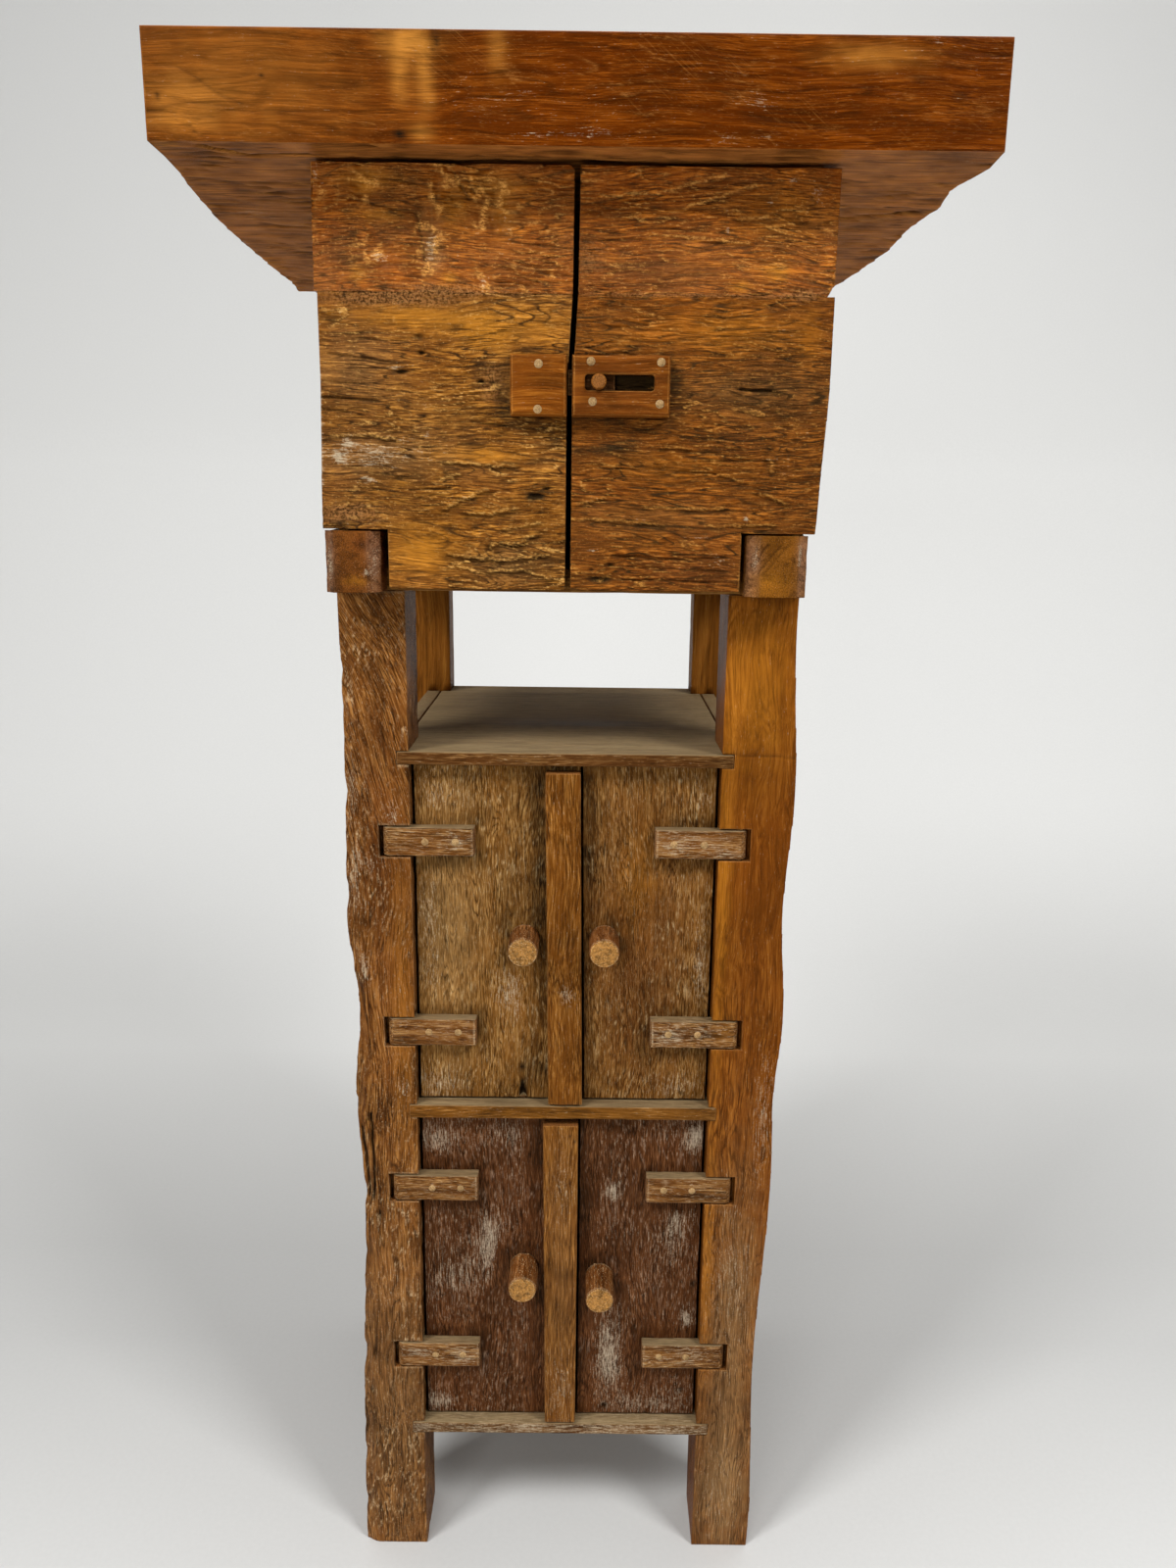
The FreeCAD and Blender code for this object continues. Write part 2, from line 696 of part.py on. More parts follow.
os.makedirs("parts", exist_ok=True)
make_stand()
make_upper_door(-1, keeper_pegs)
make_upper_door(1, housing_pegs)
make_latch()
for tier_name, tier_sizes in TIERS.items():
    save(f"{tier_name}_cover_strip", cover_strip(tier_sizes))
    for door_side in SIDES:
        make_lower_door(tier_name, door_side)
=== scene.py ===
"""Looks of the rustic teak pedestal cabinet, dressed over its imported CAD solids.

Every timber is its CAD solid cut into small cells, weathered along its grain and given a teak finish.
Lengths in the tables are millimetres in the part's frame; Blender works in metres.
"""
import json
import math
from collections import namedtuple
from dataclasses import dataclass

import bmesh
import bpy
import numpy as np
from mathutils import Matrix, Vector

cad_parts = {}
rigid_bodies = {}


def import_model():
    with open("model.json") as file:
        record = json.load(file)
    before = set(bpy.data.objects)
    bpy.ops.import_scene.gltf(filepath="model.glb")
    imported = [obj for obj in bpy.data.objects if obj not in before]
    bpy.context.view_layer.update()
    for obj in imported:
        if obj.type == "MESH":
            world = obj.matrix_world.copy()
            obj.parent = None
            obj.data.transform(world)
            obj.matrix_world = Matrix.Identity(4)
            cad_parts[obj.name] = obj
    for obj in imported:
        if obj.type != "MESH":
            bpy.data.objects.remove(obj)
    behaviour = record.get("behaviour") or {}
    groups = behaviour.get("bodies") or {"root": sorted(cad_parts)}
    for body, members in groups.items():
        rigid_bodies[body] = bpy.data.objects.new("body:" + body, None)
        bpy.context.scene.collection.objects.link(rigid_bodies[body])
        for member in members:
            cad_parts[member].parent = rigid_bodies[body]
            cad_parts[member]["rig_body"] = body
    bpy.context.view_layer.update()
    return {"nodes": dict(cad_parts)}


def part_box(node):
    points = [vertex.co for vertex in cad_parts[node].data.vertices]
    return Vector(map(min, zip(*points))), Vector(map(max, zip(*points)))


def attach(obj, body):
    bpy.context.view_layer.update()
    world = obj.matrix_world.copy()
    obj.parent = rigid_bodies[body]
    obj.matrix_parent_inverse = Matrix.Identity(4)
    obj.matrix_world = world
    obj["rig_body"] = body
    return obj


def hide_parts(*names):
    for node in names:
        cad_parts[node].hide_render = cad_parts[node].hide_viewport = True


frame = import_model()

MM = 0.001
X, Y, Z = 0, 1, 2
FRONT = (X, Z)
LEVEL = (X, Y)
SHARP_ANGLE = 0.6
FLAT_ANGLE = 0.01
WELD = 1e-6
BORE_RADIUS = 3.0 * MM
EDGE_CELL = 0.9 * MM

# Seeds: one for each piece, and what each kind of noise adds to it
FIRST_SEED = 1000
SEED_STEP = 7
GRAIN_STEP = 137.0
SEEDS = {"calm": 1, "decay": 4, "furrow": 11, "furrow_rest": 13, "flake": 21, "flake_rest": 23, "ledge": 27,
         "swell": 31, "lump": 41, "pit": 51, "crack": 55, "wear": 61, "swirl": 71, "curl": 72, "crumble": 73,
         "pale": 81, "grey_patch": 83, "grey": 85, "red_patch": 87, "red": 89, "dark": 91, "dirt_and_shade": 93,
         "warm": 101}
# Sizes of the noises; those of spots are all alike, and a timber has sizes of its own for its grain
SPOT_SIZE = 9.0
SIZES = {"crack": 12.0, "ledge": 5.0, "wear": 14.0, "swirl": (6.0, 6.0, 9.0), "curl": 3.0, "crumble": 1.7,
         "furrow_rest": 40, "flake_rest": 34, "grey_patch": 55, "red_patch": 55, "dirt_and_shade": 16}

# Camera, fitted to the photo
CAMERA_PLACE = Vector((13.65, -959.08, 845.55)) * MM
CAMERA_PITCH = math.radians(13.689)
CAMERA_ROLL = math.radians(0.7106)
CAMERA_YAW = math.radians(0.1617)
LENS = 27.44
SENSOR = 36.0
NEAREST = 0.05

# Furrows or flakes along the grain: how long, wide and deep
Relief = namedtuple("Relief", "length width depth")
# Swellings, or bends of the grain: how large, and how high or far
Wave = namedtuple("Wave", "size reach")


@dataclass
class Timber:
    """How one kind of piece is cut into cells, weathered and finished."""
    wood: str
    axis: int
    cells: tuple = None
    fine: int = 0
    furrow: Relief = Relief(60, 5, 0.4)
    flake: Relief = Relief(90, 12, 0.0)
    lump: Wave = Wave(45, 0.0)
    bend: Wave = Wave(90, 4.0)
    wear: float = 0.7
    pale: float = 0.0
    grey: float = 0.0
    red: float = 0.0
    dust: float = 0.0
    under: float = 0.0
    slot: str = None
    tight: tuple = None
    drift: object = None
    shape: object = None


def noise(points, seed):
    """Smooth gradient noise, between about -1 and 1, at each point."""
    source = np.random.RandomState(seed)
    table = source.permutation(256)
    slopes = source.normal(size=(256, 3))
    slopes /= np.linalg.norm(slopes, axis=1, keepdims=True)
    cell = np.floor(points).astype(int)
    inside = points - cell
    ease = inside ** 3 * (inside * (inside * 6 - 15) + 10)
    total = np.zeros(len(points))
    for corner in np.ndindex(2, 2, 2):
        at = cell + corner
        key = table[at[:, 0] & 255]
        key = table[(key + at[:, 1]) & 255]
        key = table[(key + at[:, 2]) & 255]
        share = np.where(corner, ease, 1 - ease).prod(axis=1)
        total += share * ((inside - corner) * slopes[key]).sum(axis=1)
    return 1.5 * total


def fade(value, low, high):
    """Goes smoothly from 0 at low to 1 at high."""
    t = np.clip((value - low) / (high - low), 0, 1)
    return t * t * (3 - 2 * t)


def patches(points, size, seed):
    """Soft patches, from 0 to 1."""
    return fade(noise(points / size, seed) + 0.4 * noise(points / (0.35 * size), seed + 1), -0.15, 0.45)


def cut_places(low, high, spacing):
    """Where a side from low to high is cut: evenly, and once more close to each end."""
    count = max(1, round((high - low) / spacing))
    places = list(np.linspace(low, high, count + 1)[1:-1])
    if high - low > 4 * EDGE_CELL:
        places += [low + EDGE_CELL, high - EDGE_CELL]
    return places


def join_flat(mesh):
    bmesh.ops.dissolve_limit(mesh, angle_limit=FLAT_ANGLE, verts=mesh.verts, edges=mesh.edges)


def flat_faced(node):
    """The CAD mesh of a node with its triangles joined into flat faces."""
    mesh = bmesh.new()
    mesh.from_mesh(frame["nodes"][node].data)
    bmesh.ops.remove_doubles(mesh, verts=mesh.verts, dist=WELD)
    join_flat(mesh)
    mesh.normal_update()
    return mesh


def peg_places():
    """Places (x, z) of all peg heads, which face the front."""
    places = []
    for node in frame["nodes"]:
        if node.endswith("pegs"):
            mesh = flat_faced(node)
            heads = [face.calc_center_median() for face in mesh.faces if face.normal.y < -0.99]
            places += [(head.x, head.z) for head in heads]
            mesh.free()
    return places


PEG_PLACES = peg_places()


def close_bores(mesh, places):
    """Takes out the bores at the given places and closes the faces they opened in."""
    def in_bore(vertex):
        return any(math.hypot(vertex.co.x - x, vertex.co.z - z) < BORE_RADIUS for x, z in places)

    walls = [face for face in mesh.faces if all(in_bore(vertex) for vertex in face.verts)]
    bmesh.ops.delete(mesh, geom=walls, context="FACES")
    rims = [edge for edge in mesh.edges if edge.is_boundary]
    bmesh.ops.holes_fill(mesh, edges=rims)
    join_flat(mesh)


def cut_into_cells(mesh, low, high, cells):
    """Cuts a mesh along planes across each axis, the axis with the largest cells first."""
    for axis in np.argsort(cells)[::-1]:
        normal = Vector((0, 0, 0))
        normal[axis] = 1
        for place in cut_places(low[axis], high[axis], cells[axis] * MM):
            everything = mesh.verts[:] + mesh.edges[:] + mesh.faces[:]
            bmesh.ops.bisect_plane(mesh, geom=everything, dist=WELD, plane_co=normal * place,
                                   plane_no=normal)


def celled(node, cells, fine):
    """The CAD mesh of a node, cut into cells, finer ones in front."""
    mesh = flat_faced(node)
    if cells:
        low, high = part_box(node)
        places = [(x, z) for x, z in PEG_PLACES if low.x < x < high.x and low.z < z < high.z]
        if places:
            close_bores(mesh, places)
        cut_into_cells(mesh, low, high, cells)
    mesh.normal_update()
    if fine:
        edges = {edge for face in mesh.faces if face.normal.y < -0.5 for edge in face.edges}
        bmesh.ops.subdivide_edges(mesh, edges=list(edges), cuts=fine, use_grid_fill=True)
        mesh.normal_update()
    return mesh


def sharp_corners(mesh):
    """1 for each vertex on a sharp edge, else 0."""
    mesh.verts.index_update()
    sharp = np.zeros(len(mesh.verts))
    for edge in mesh.edges:
        if len(edge.link_faces) == 2 and edge.calc_face_angle() > SHARP_ANGLE:
            for vertex in edge.verts:
                sharp[vertex.index] = 1
    return sharp


def grain_places(points, timber, seed):
    """Points in the timber's own grain: first along it, then twice across, wandering slowly."""
    size = timber.bend.size
    order = [timber.axis] + [axis for axis in (X, Y, Z) if axis != timber.axis]
    slow = np.stack([noise(points / size, seed + i) for i in range(3)], axis=1)
    quick = np.stack([noise(4 * points / size, seed + i) for i in range(3)], axis=1)
    moved = points + timber.bend.reach * (slow + 0.2 * quick)
    if timber.drift:
        moved[:, order[1]] += timber.drift(points)
    return moved[:, order] + GRAIN_STEP * seed


def furrows(grain, relief, seed):
    """Narrow valleys along the grain: 0 on the ridges, 1 at the bottom."""
    length, width, _ = relief
    wide = noise(grain / (length, width, width), seed)
    fine = noise(grain / (0.6 * length, 0.5 * width, 0.5 * width), seed + 1)
    valley = fade(0.45 - np.abs(wide + 0.35 * fine), 0, 0.45)
    return 0.7 * valley + 0.3 * fade(fine, -0.1, 0.6)


def flakes(grain, relief, seed):
    """Layers that sink gently and then break off: their depth, and where their lips are."""
    length, width, _ = relief
    level = 2.2 * noise(grain / (length, width, width), seed)
    level += 0.5 * noise(grain / (0.35 * length, 0.4 * width, 0.4 * width), seed + 1)
    part = level - np.floor(level)
    return part ** 2, fade(part, 0.2, 0.02)


def along_line(flat, start, end):
    """How far each point of a face is from a stretch, and how far it lies below it."""
    along = np.subtract(end, start)
    share = np.clip((flat - start) @ along / (along @ along), 0, 1)
    away = flat - start - share[:, None] * along
    return np.linalg.norm(away, axis=1), -away[:, 1]


def standing_on(node):
    """The pieces that stand on the front of a door."""
    if node.endswith("door_panel"):
        door = node.removesuffix("_panel")
        tier = node.split("_")[0]
        return [f"{door}_top_strap", f"{door}_bottom_strap", f"{door}_knob", f"{tier}_cover_strip"]
    return {"upper_left_door_bottom_board": ["latch_keeper"],
            "upper_right_door_bottom_board": ["latch_housing"]}.get(node, [])


class Surface:
    """The points of one piece while it weathers: what its grain and its marks do at each of them."""

    def __init__(self, node, mesh, timber, seed):
        self.node, self.timber, self.seed = node, timber, seed
        self.points = np.array([vertex.co for vertex in mesh.verts]) / MM
        self.normals = np.array([vertex.normal for vertex in mesh.verts])
        self.grain = grain_places(self.points, timber, seed)
        self.end = fade(np.abs(self.normals[:, timber.axis]), 0.75, 0.95)
        self.decay = np.clip(self.spotted("decay"), 0, 1)
        self.pit = self.spotted("pit") + self.cracked()
        self.worn = self.wear(sharp_corners(mesh))
        self.roughen()
        self.tear()
        self.curl()

    def seed_of(self, kind):
        return self.seed + SEEDS[kind]

    def noise(self, kind):
        return noise(self.points / SIZES[kind], self.seed_of(kind))

    def patches(self, kind):
        return patches(self.points, SIZES[kind], self.seed_of(kind))

    def facing(self, face):
        """1 where the surface looks to the front, or up or down for a level face, else 0."""
        along = -self.normals[:, Y] if face == FRONT else np.abs(self.normals[:, Z])
        return fade(along, 0.2, 0.6)

    def marks(self, kind):
        """The piece's marks of one kind, each after the face that it is on."""
        for face, table in ((FRONT, FRONT_MARKS), (LEVEL, LEVEL_MARKS)):
            for mark in table.get(self.node, {}).get(kind, ()):
                yield face, mark

    def ragged(self, kind):
        """A small shift at each point, for ragged outlines."""
        places, seed = self.points / SIZES.get(kind, SPOT_SIZE), self.seed_of(kind)
        return np.stack([noise(places, seed), noise(places, seed + 1)], axis=1)

    def spotted(self, kind):
        """Sum of the spots of one kind at each point."""
        total = np.zeros(len(self.points))
        shift = 0.35 * self.ragged(kind)
        for face, (u, v, half_u, half_v, amount) in self.marks(kind):
            away = (self.points[:, face] - (u, v)) / (half_u, half_v) + shift
            total += amount * np.exp(-(away ** 2).sum(axis=1)) * self.facing(face)
        return total

    def stretches(self, kind, shift):
        """Sizes and facing of each stretch of cracks or ledges, and how far off and below points are."""
        for face, (first, second, *paths) in self.marks(kind):
            flat = self.points[:, face] + shift
            for path in paths:
                for start, end in zip(path, path[1:]):
                    yield first, second, self.facing(face), *along_line(flat, start, end)

    def cracked(self):
        """Depth of the cracks at each point."""
        total = np.zeros(len(self.points))
        shift = 0.8 * self.ragged("crack")
        for width, depth, facing, away, _ in self.stretches("crack", shift):
            total = np.maximum(total, facing * depth * np.exp(-(away / width) ** 2))
        return total

    def tear(self):
        """Depth under the ledges at each point, and where their lips are."""
        self.under_ledge = np.zeros(len(self.points))
        self.ledge_lip = np.zeros(len(self.points))
        shift = 1.2 * self.ragged("ledge")
        for drop, reach, facing, away, below in self.stretches("ledge", shift):
            near = facing * fade(away, reach, 0.0)
            lip = near * fade(away, 2.2, 0.6) * fade(below, 0.3, 0.0)
            self.under_ledge = np.maximum(self.under_ledge, drop * near * fade(below, 0.0, 0.6))
            self.ledge_lip = np.maximum(self.ledge_lip, lip)

    def from_joint(self):
        """How far each point is from the plane of the tight joint."""
        axis, place = self.timber.tight
        return np.abs(self.points[:, axis] - place)

    def wear(self, sharp):
        """How worn the sharp corners are, apart from tight joints."""
        worn = sharp * (0.35 + 0.65 * np.abs(self.noise("wear")))
        if self.timber.tight:
            worn *= fade(self.from_joint(), 1.0, 4.0)
        return worn

    def roughen(self):
        """Furrows and broken flakes; end grain and calm places stay smoother, undersides rougher."""
        timber = self.timber
        self.calm = np.clip(self.spotted("calm"), 0, 1)
        below = fade(-self.normals[:, Z], 0.5, 0.9)
        rough = (1 + timber.under * below) * (1 - 0.8 * self.end) * (1 - 0.8 * self.calm)
        furrow = furrows(self.grain, timber.furrow, self.seed_of("furrow"))
        flake, lip = flakes(self.grain, timber.flake, self.seed_of("flake"))
        flake_share = rough * (0.15 + 0.85 * self.patches("flake_rest"))
        self.groove = rough * furrow * (0.3 + 0.7 * self.patches("furrow_rest"))
        self.flake = flake_share * flake
        self.flake_lip = flake_share * lip

    def curl(self):
        """Burls: swirling lumps that are calmer than the grain round them."""
        burl = self.spotted("lump")
        self.swirl = self.noise("swirl") + 0.4 * self.noise("curl")
        self.burl_depth = burl * (0.5 - 0.5 * self.swirl)
        self.burl = np.clip(0.5 * burl, 0, 1)
        self.calm = np.maximum(self.calm, 0.7 * self.burl)

    def depth(self):
        """How deep each point is carved."""
        timber = self.timber
        swell = 0.5 + 0.5 * noise(self.points / timber.lump.size, self.seed_of("swell"))
        crumble = 0.5 + 0.5 * self.noise("crumble")
        carved = timber.furrow.depth * self.groove + timber.flake.depth * self.flake
        carved += timber.lump.reach * swell + self.pit + self.under_ledge + timber.wear * self.worn
        return carved + self.burl_depth + 0.9 * self.decay * crumble

    def carved(self):
        """The points, moved inwards from the CAD faces; tight joints keep their plane."""
        shift = -self.normals * self.depth()[:, None]
        if self.timber.tight:
            shift[:, self.timber.tight[0]] *= fade(self.from_joint(), 0.2, 1.0)
        moved = self.points + shift
        return self.timber.shape(moved) if self.timber.shape else moved

    def grime_and_contact_shade(self):
        """Dirt and painted contact shade on a door's front, round the pieces that stand on it."""
        reach = 9.0
        total = np.zeros(len(self.points))
        for piece in standing_on(self.node):
            low, high = [np.array(corner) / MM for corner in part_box(piece)]
            away = np.maximum(np.maximum(low - self.points, self.points - high), 0)[:, FRONT]
            total = np.maximum(total, np.exp(-(away ** 2).sum(axis=1) / reach ** 2))
        return total * self.facing(FRONT)

    def low(self):
        """Where the surface lies low, in furrows, flakes, under ledges and in burl hollows: painted shade
        that darkens it.
        """
        furrow, flake = self.timber.furrow, self.timber.flake
        low = 0.8 * self.groove * min(1, 2 * furrow.depth) + 0.6 * self.flake * min(1, flake.depth)
        return low + 0.6 * self.under_ledge + 0.4 * self.burl * fade(-self.swirl, 0.15, 0.7)

    def lips(self):
        """Where torn layers end, and on burl tops: painted highlights that make them lighter."""
        lips = self.flake_lip * min(1, 1.5 * self.timber.flake.depth) + 0.7 * self.ledge_lip
        return np.clip(lips + 1.4 * self.burl * fade(self.swirl, 0.1, 0.5), 0, 1)

    def paints(self):
        """The four channels of each colour attribute that the teak finish reads."""
        timber = self.timber
        # Dirt and painted contact shade round the pieces on a door darken its front there and clear its pale
        # residue.
        dirt_and_shade = self.grime_and_contact_shade()
        pale = (timber.pale + self.spotted("pale")) * (1 - dirt_and_shade) - 0.6 * dirt_and_shade
        # Pits and cracks get painted shade as well.
        dark = self.spotted("dark") + 0.6 * self.pit + dirt_and_shade * (0.25 + 0.5 * self.patches("dirt_and_shade"))
        grey = timber.grey * self.patches("grey_patch") + self.spotted("grey")
        red = timber.red * self.patches("red_patch") + self.spotted("red")
        dust = timber.dust * fade(self.normals[:, Z], 0.4, 0.9)
        return {"paint": (self.low(), pale, dark, self.spotted("warm")),
                "patch": (grey, red, self.decay, self.calm),
                "skin": (self.worn, dust, self.end, self.lips())}


def add_points(mesh, name, kind, field, values):
    mesh.attributes.new(name, kind, "POINT").data.foreach_set(field, values.ravel())


def weathered(node, timber, seed):
    """A new mesh for a node, carved inwards from its CAD faces, with its grain and paint on the points."""
    built = celled(node, timber.cells, timber.fine)
    surface = Surface(node, built, timber, seed)
    mesh = bpy.data.meshes.new(f"{node}_look")
    built.to_mesh(mesh)
    built.free()
    mesh.vertices.foreach_set("co", (surface.carved() * MM).ravel())
    mesh.shade_smooth()
    add_points(mesh, "grain", "FLOAT_VECTOR", "vector", surface.grain)
    for name, channels in surface.paints().items():
        add_points(mesh, name, "FLOAT_COLOR", "color", np.stack(channels, axis=1))
    mesh.update()
    return mesh


def tone(code):
    """A colour from its usual six hexadecimal digits, as linear values."""
    parts = [int(code[i:i + 2], 16) / 255 for i in (0, 2, 4)]
    return tuple(c / 12.92 if c <= 0.04045 else ((c + 0.055) / 1.055) ** 2.4 for c in parts) + (1.0,)


class Graph:
    """A short way to write the nodes of a material."""

    def __init__(self, name):
        self.material = bpy.data.materials.new(name)
        self.material.use_nodes = True
        self.nodes = self.material.node_tree.nodes
        self.links = self.material.node_tree.links
        self.shader = self.nodes["Principled BSDF"]

    def put(self, socket, value):
        if isinstance(value, bpy.types.NodeSocket):
            self.links.new(value, socket)
        elif socket.type == "VECTOR":
            socket.default_value = value[:3]
        else:
            socket.default_value = value

    def add(self, kind, inputs, **settings):
        node = self.nodes.new(kind)
        for key, value in settings.items():
            setattr(node, key, value)
        for key, value in inputs.items():
            self.put(node.inputs[key], value)
        return node

    def finish_with(self, **inputs):
        """Puts values into the shader's inputs; an underscore in a name stands for a space."""
        for key, value in inputs.items():
            self.put(self.shader.inputs[key.replace("_", " ")], value)

    def math(self, operation, a, b=0.0, c=0.0):
        return self.add("ShaderNodeMath", {0: a, 1: b, 2: c}, operation=operation).outputs[0]

    def times(self, a, b):
        return self.math("MULTIPLY", a, b)

    def plus(self, a, factor, b):
        """a times the factor, plus b."""
        return self.math("MULTIPLY_ADD", a, factor, b)

    def noise(self, vector, sizes, detail, roughness=0.55, distortion=0.0):
        factors = tuple(1 / size for size in sizes)
        scaled = self.add("ShaderNodeVectorMath", {0: vector, 1: factors}, operation="MULTIPLY").outputs[0]
        inputs = {"Vector": scaled, "Scale": 1.0, "Detail": detail, "Roughness": roughness,
                  "Distortion": distortion}
        return self.add("ShaderNodeTexNoise", inputs).outputs["Fac"]

    def rise(self, value, low, high, to_low=0.0, to_high=1.0):
        """Goes evenly from to_low where the value is low to to_high where it is high."""
        inputs = {"Value": value, "From Min": low, "From Max": high, "To Min": to_low, "To Max": to_high}
        return self.add("ShaderNodeMapRange", inputs).outputs[0]

    def mix(self, share, a, b):
        node = self.add("ShaderNodeMix", {0: share, 6: a, 7: b}, data_type="RGBA")
        return node.outputs[2]

    def split(self, attribute):
        """The four channels of a colour attribute."""
        source = self.add("ShaderNodeAttribute", {}, attribute_name=attribute)
        parts = self.add("ShaderNodeSeparateColor", {"Color": source.outputs["Color"]})
        return [*parts.outputs, source.outputs["Alpha"]]

    def brightened(self, colour, factor):
        node = self.add("ShaderNodeVectorMath", {0: colour, "Scale": factor}, operation="SCALE")
        return node.outputs[0]


@dataclass
class Finish:
    """Colours of one kind of old teak, as six hexadecimal digits, and how strong its features are."""
    dark: str
    middle: str
    light: str
    groove: str = "1f0e04"
    pale: str = "b9a88c"
    stain_and_shade: str = "150c06"
    gold: str = "b0701c"
    grey: str = "7d5934"
    red: str = "5e2f12"
    rot: str = "7d4f33"
    edge: str = "b98650"
    end: str = "7a4c24"
    dust: str = "8a7656"
    gloss: float = 0.5
    rings: float = 30.0
    fibre: tuple = (11, 0.8)
    contrast: float = 2.3
    streak: tuple = (70, 5)
    broad: float = 0.4
    fissure: float = 0.5
    fleck: float = 0.3
    speckle: tuple = (4.5, 0.7)
    seam: float = 0.4
    mottle: float = 0.2
    saw: float = 0.0
    bump: float = 0.7
    sheen: float = 0.12


class Teak(Graph):
    """Old teak: rings and fibres along the grain, fissures, painted highlights on lips, painted shade in
    hollows, decay, residue, dust and end grain.
    """
    CALM_GRAIN = 0.35
    SAW_ANGLE = -0.66
    BUMP_HEIGHT = 0.8 * MM
    WARM_SHEEN = (1.0, 0.58, 0.2, 1.0)

    def __init__(self, name, finish):
        super().__init__(name)
        self.finish = finish
        self.grain = self.add("ShaderNodeAttribute", {}, attribute_name="grain").outputs["Vector"]
        # Painted shade comes in through low and part of dark; painted highlights through lip and some pale
        # and warm spots.
        self.low, self.pale, self.dark, self.warm = self.split("paint")
        self.grey, self.red, self.decay, calm = self.split("patch")
        self.worn, self.upward, self.end, self.lip = self.split("skin")
        self.lively = self.rise(calm, 0.0, 1.0, 1.0, self.CALM_GRAIN)
        self.add_noises()
        base = self.bare_wood()
        for layer in (self.tinted, self.flecked, self.sunken, self.chalked, self.dusted):
            base = layer(base)
        self.add_surface(base)

    def along(self, length, width, detail, roughness=0.55, distortion=0.0):
        """Noise that is stretched along the grain."""
        return self.noise(self.grain, (length, width, width), detail, roughness, distortion)

    def add_noises(self):
        """The noises that more than one layer reads."""
        figure = self.along(240, 17, 2, distortion=0.4)
        self.ring = self.math("SINE", self.times(figure, self.finish.rings))
        self.streaks = self.along(*self.finish.streak, 4, 0.6, 0.3)
        self.lines = self.along(*self.finish.fibre, 5, 0.62, 0.3)
        self.cloud = self.along(70, 34, 3)
        self.patch = self.along(28, 9, 2)
        self.speck = self.along(*self.finish.speckle, 4, 0.7)
        self.grit = self.along(1.5, 1.5, 3, 0.6)
        dashes = self.along(12, 1.1, 3, 0.6, 0.4)
        torn_here = self.times(self.lively, self.rise(self.cloud, 0.38, 0.6, 0.25, 1.0))
        self.fissures = self.times(self.rise(dashes, 0.42, 0.33), torn_here)

    def bare_wood(self):
        """Dark, middle and light wood, shared out by fibres, rings and streaks, and the end grain."""
        finish = self.finish
        weak, strong = 0.5 * finish.contrast, 1.4 * finish.contrast
        vivid = self.times(self.lively, self.rise(self.patch, 0.35, 0.65, weak, strong))
        spread = self.times(self.math("SUBTRACT", self.lines, 0.5), vivid)
        share = self.plus(self.ring, 0.07, self.math("ADD", spread, 0.5))
        share = self.plus(self.math("SUBTRACT", self.streaks, 0.5), 2.2 * finish.broad, share)
        base = self.mix(self.rise(share, 0.0, 0.5), tone(finish.dark), tone(finish.middle))
        base = self.mix(self.rise(share, 0.5, 1.0), base, tone(finish.light))
        cut = self.plus(self.ring, 0.1, self.rise(self.lines, 0.35, 0.65, 0.5, 1.5))
        self.tinge = self.rise(share, 0.0, 1.0, 0.4, 1.55)
        return self.mix(self.end, base, self.brightened(tone(finish.end), cut))

    def tinted(self, base):
        """Red, grey and golden places, some golden spots being painted highlights, and large light and dark
        clouds.
        """
        finish = self.finish
        for paint, code in ((self.red, finish.red), (self.grey, finish.grey), (self.warm, finish.gold)):
            base = self.mix(self.times(paint, 0.8), base, self.brightened(tone(code), self.tinge))
        return self.brightened(base, self.rise(self.cloud, 0.3, 0.7, 1 + finish.mottle, 1 - finish.mottle))

    def flecked(self, base):
        """Bright crumbs, saw scratches and dark seams between the rings."""
        finish = self.finish
        crumbs = self.times(self.rise(self.speck, 0.57, 0.68),
                            self.rise(self.cloud, 0.35, 0.6, 0.4 * finish.fleck, finish.fleck))
        base = self.mix(self.times(crumbs, self.lively), base, tone(finish.edge))
        if finish.saw:
            base = self.mix(self.saw_marks(), base, tone(finish.edge))
        line = self.times(self.rise(self.ring, -0.7, -0.97),
                          self.rise(self.patch, 0.35, 0.6, 0.2 * finish.seam, finish.seam))
        return self.mix(self.times(line, self.lively), base, self.brightened(tone(finish.dark), 0.6))

    def saw_marks(self):
        """Slanted scratches here and there."""
        tilted = self.add("ShaderNodeVectorRotate", {"Vector": self.grain, "Angle": self.SAW_ANGLE},
                          rotation_type="Y_AXIS")
        scratch = self.rise(self.noise(tilted.outputs[0], (26, 8, 0.7), 2), 0.6, 0.68)
        return self.times(scratch, self.rise(self.cloud, 0.5, 0.6, 0.0, self.finish.saw))

    def sunken(self, base):
        """Fissures, painted shade in low places, decay, and stains mixed with painted shade."""
        finish = self.finish
        groove = tone(finish.groove)
        base = self.mix(self.times(self.fissures, finish.fissure), base, groove)
        # Painted shade in the low places.
        base = self.mix(self.times(self.low, 0.5), base, groove)
        rotten = self.mix(self.rise(self.grit, 0.42, 0.56), groove, tone(finish.rot))
        base = self.mix(self.times(self.decay, 0.7), base, rotten)
        # Dark paint: stains, and painted shade in pits, cracks, round standing pieces and in marked spots.
        stained_and_shaded = self.times(self.dark, self.rise(self.lines, 0.3, 0.6, 1.0, 0.6))
        return self.mix(stained_and_shaded, base, tone(finish.stain_and_shade))

    def chalked(self, base):
        """Painted highlights on torn lips; pale residue in the fibres, raised also by pale spots that are
        painted highlights; and worn edges.
        """
        edge = tone(self.finish.edge)
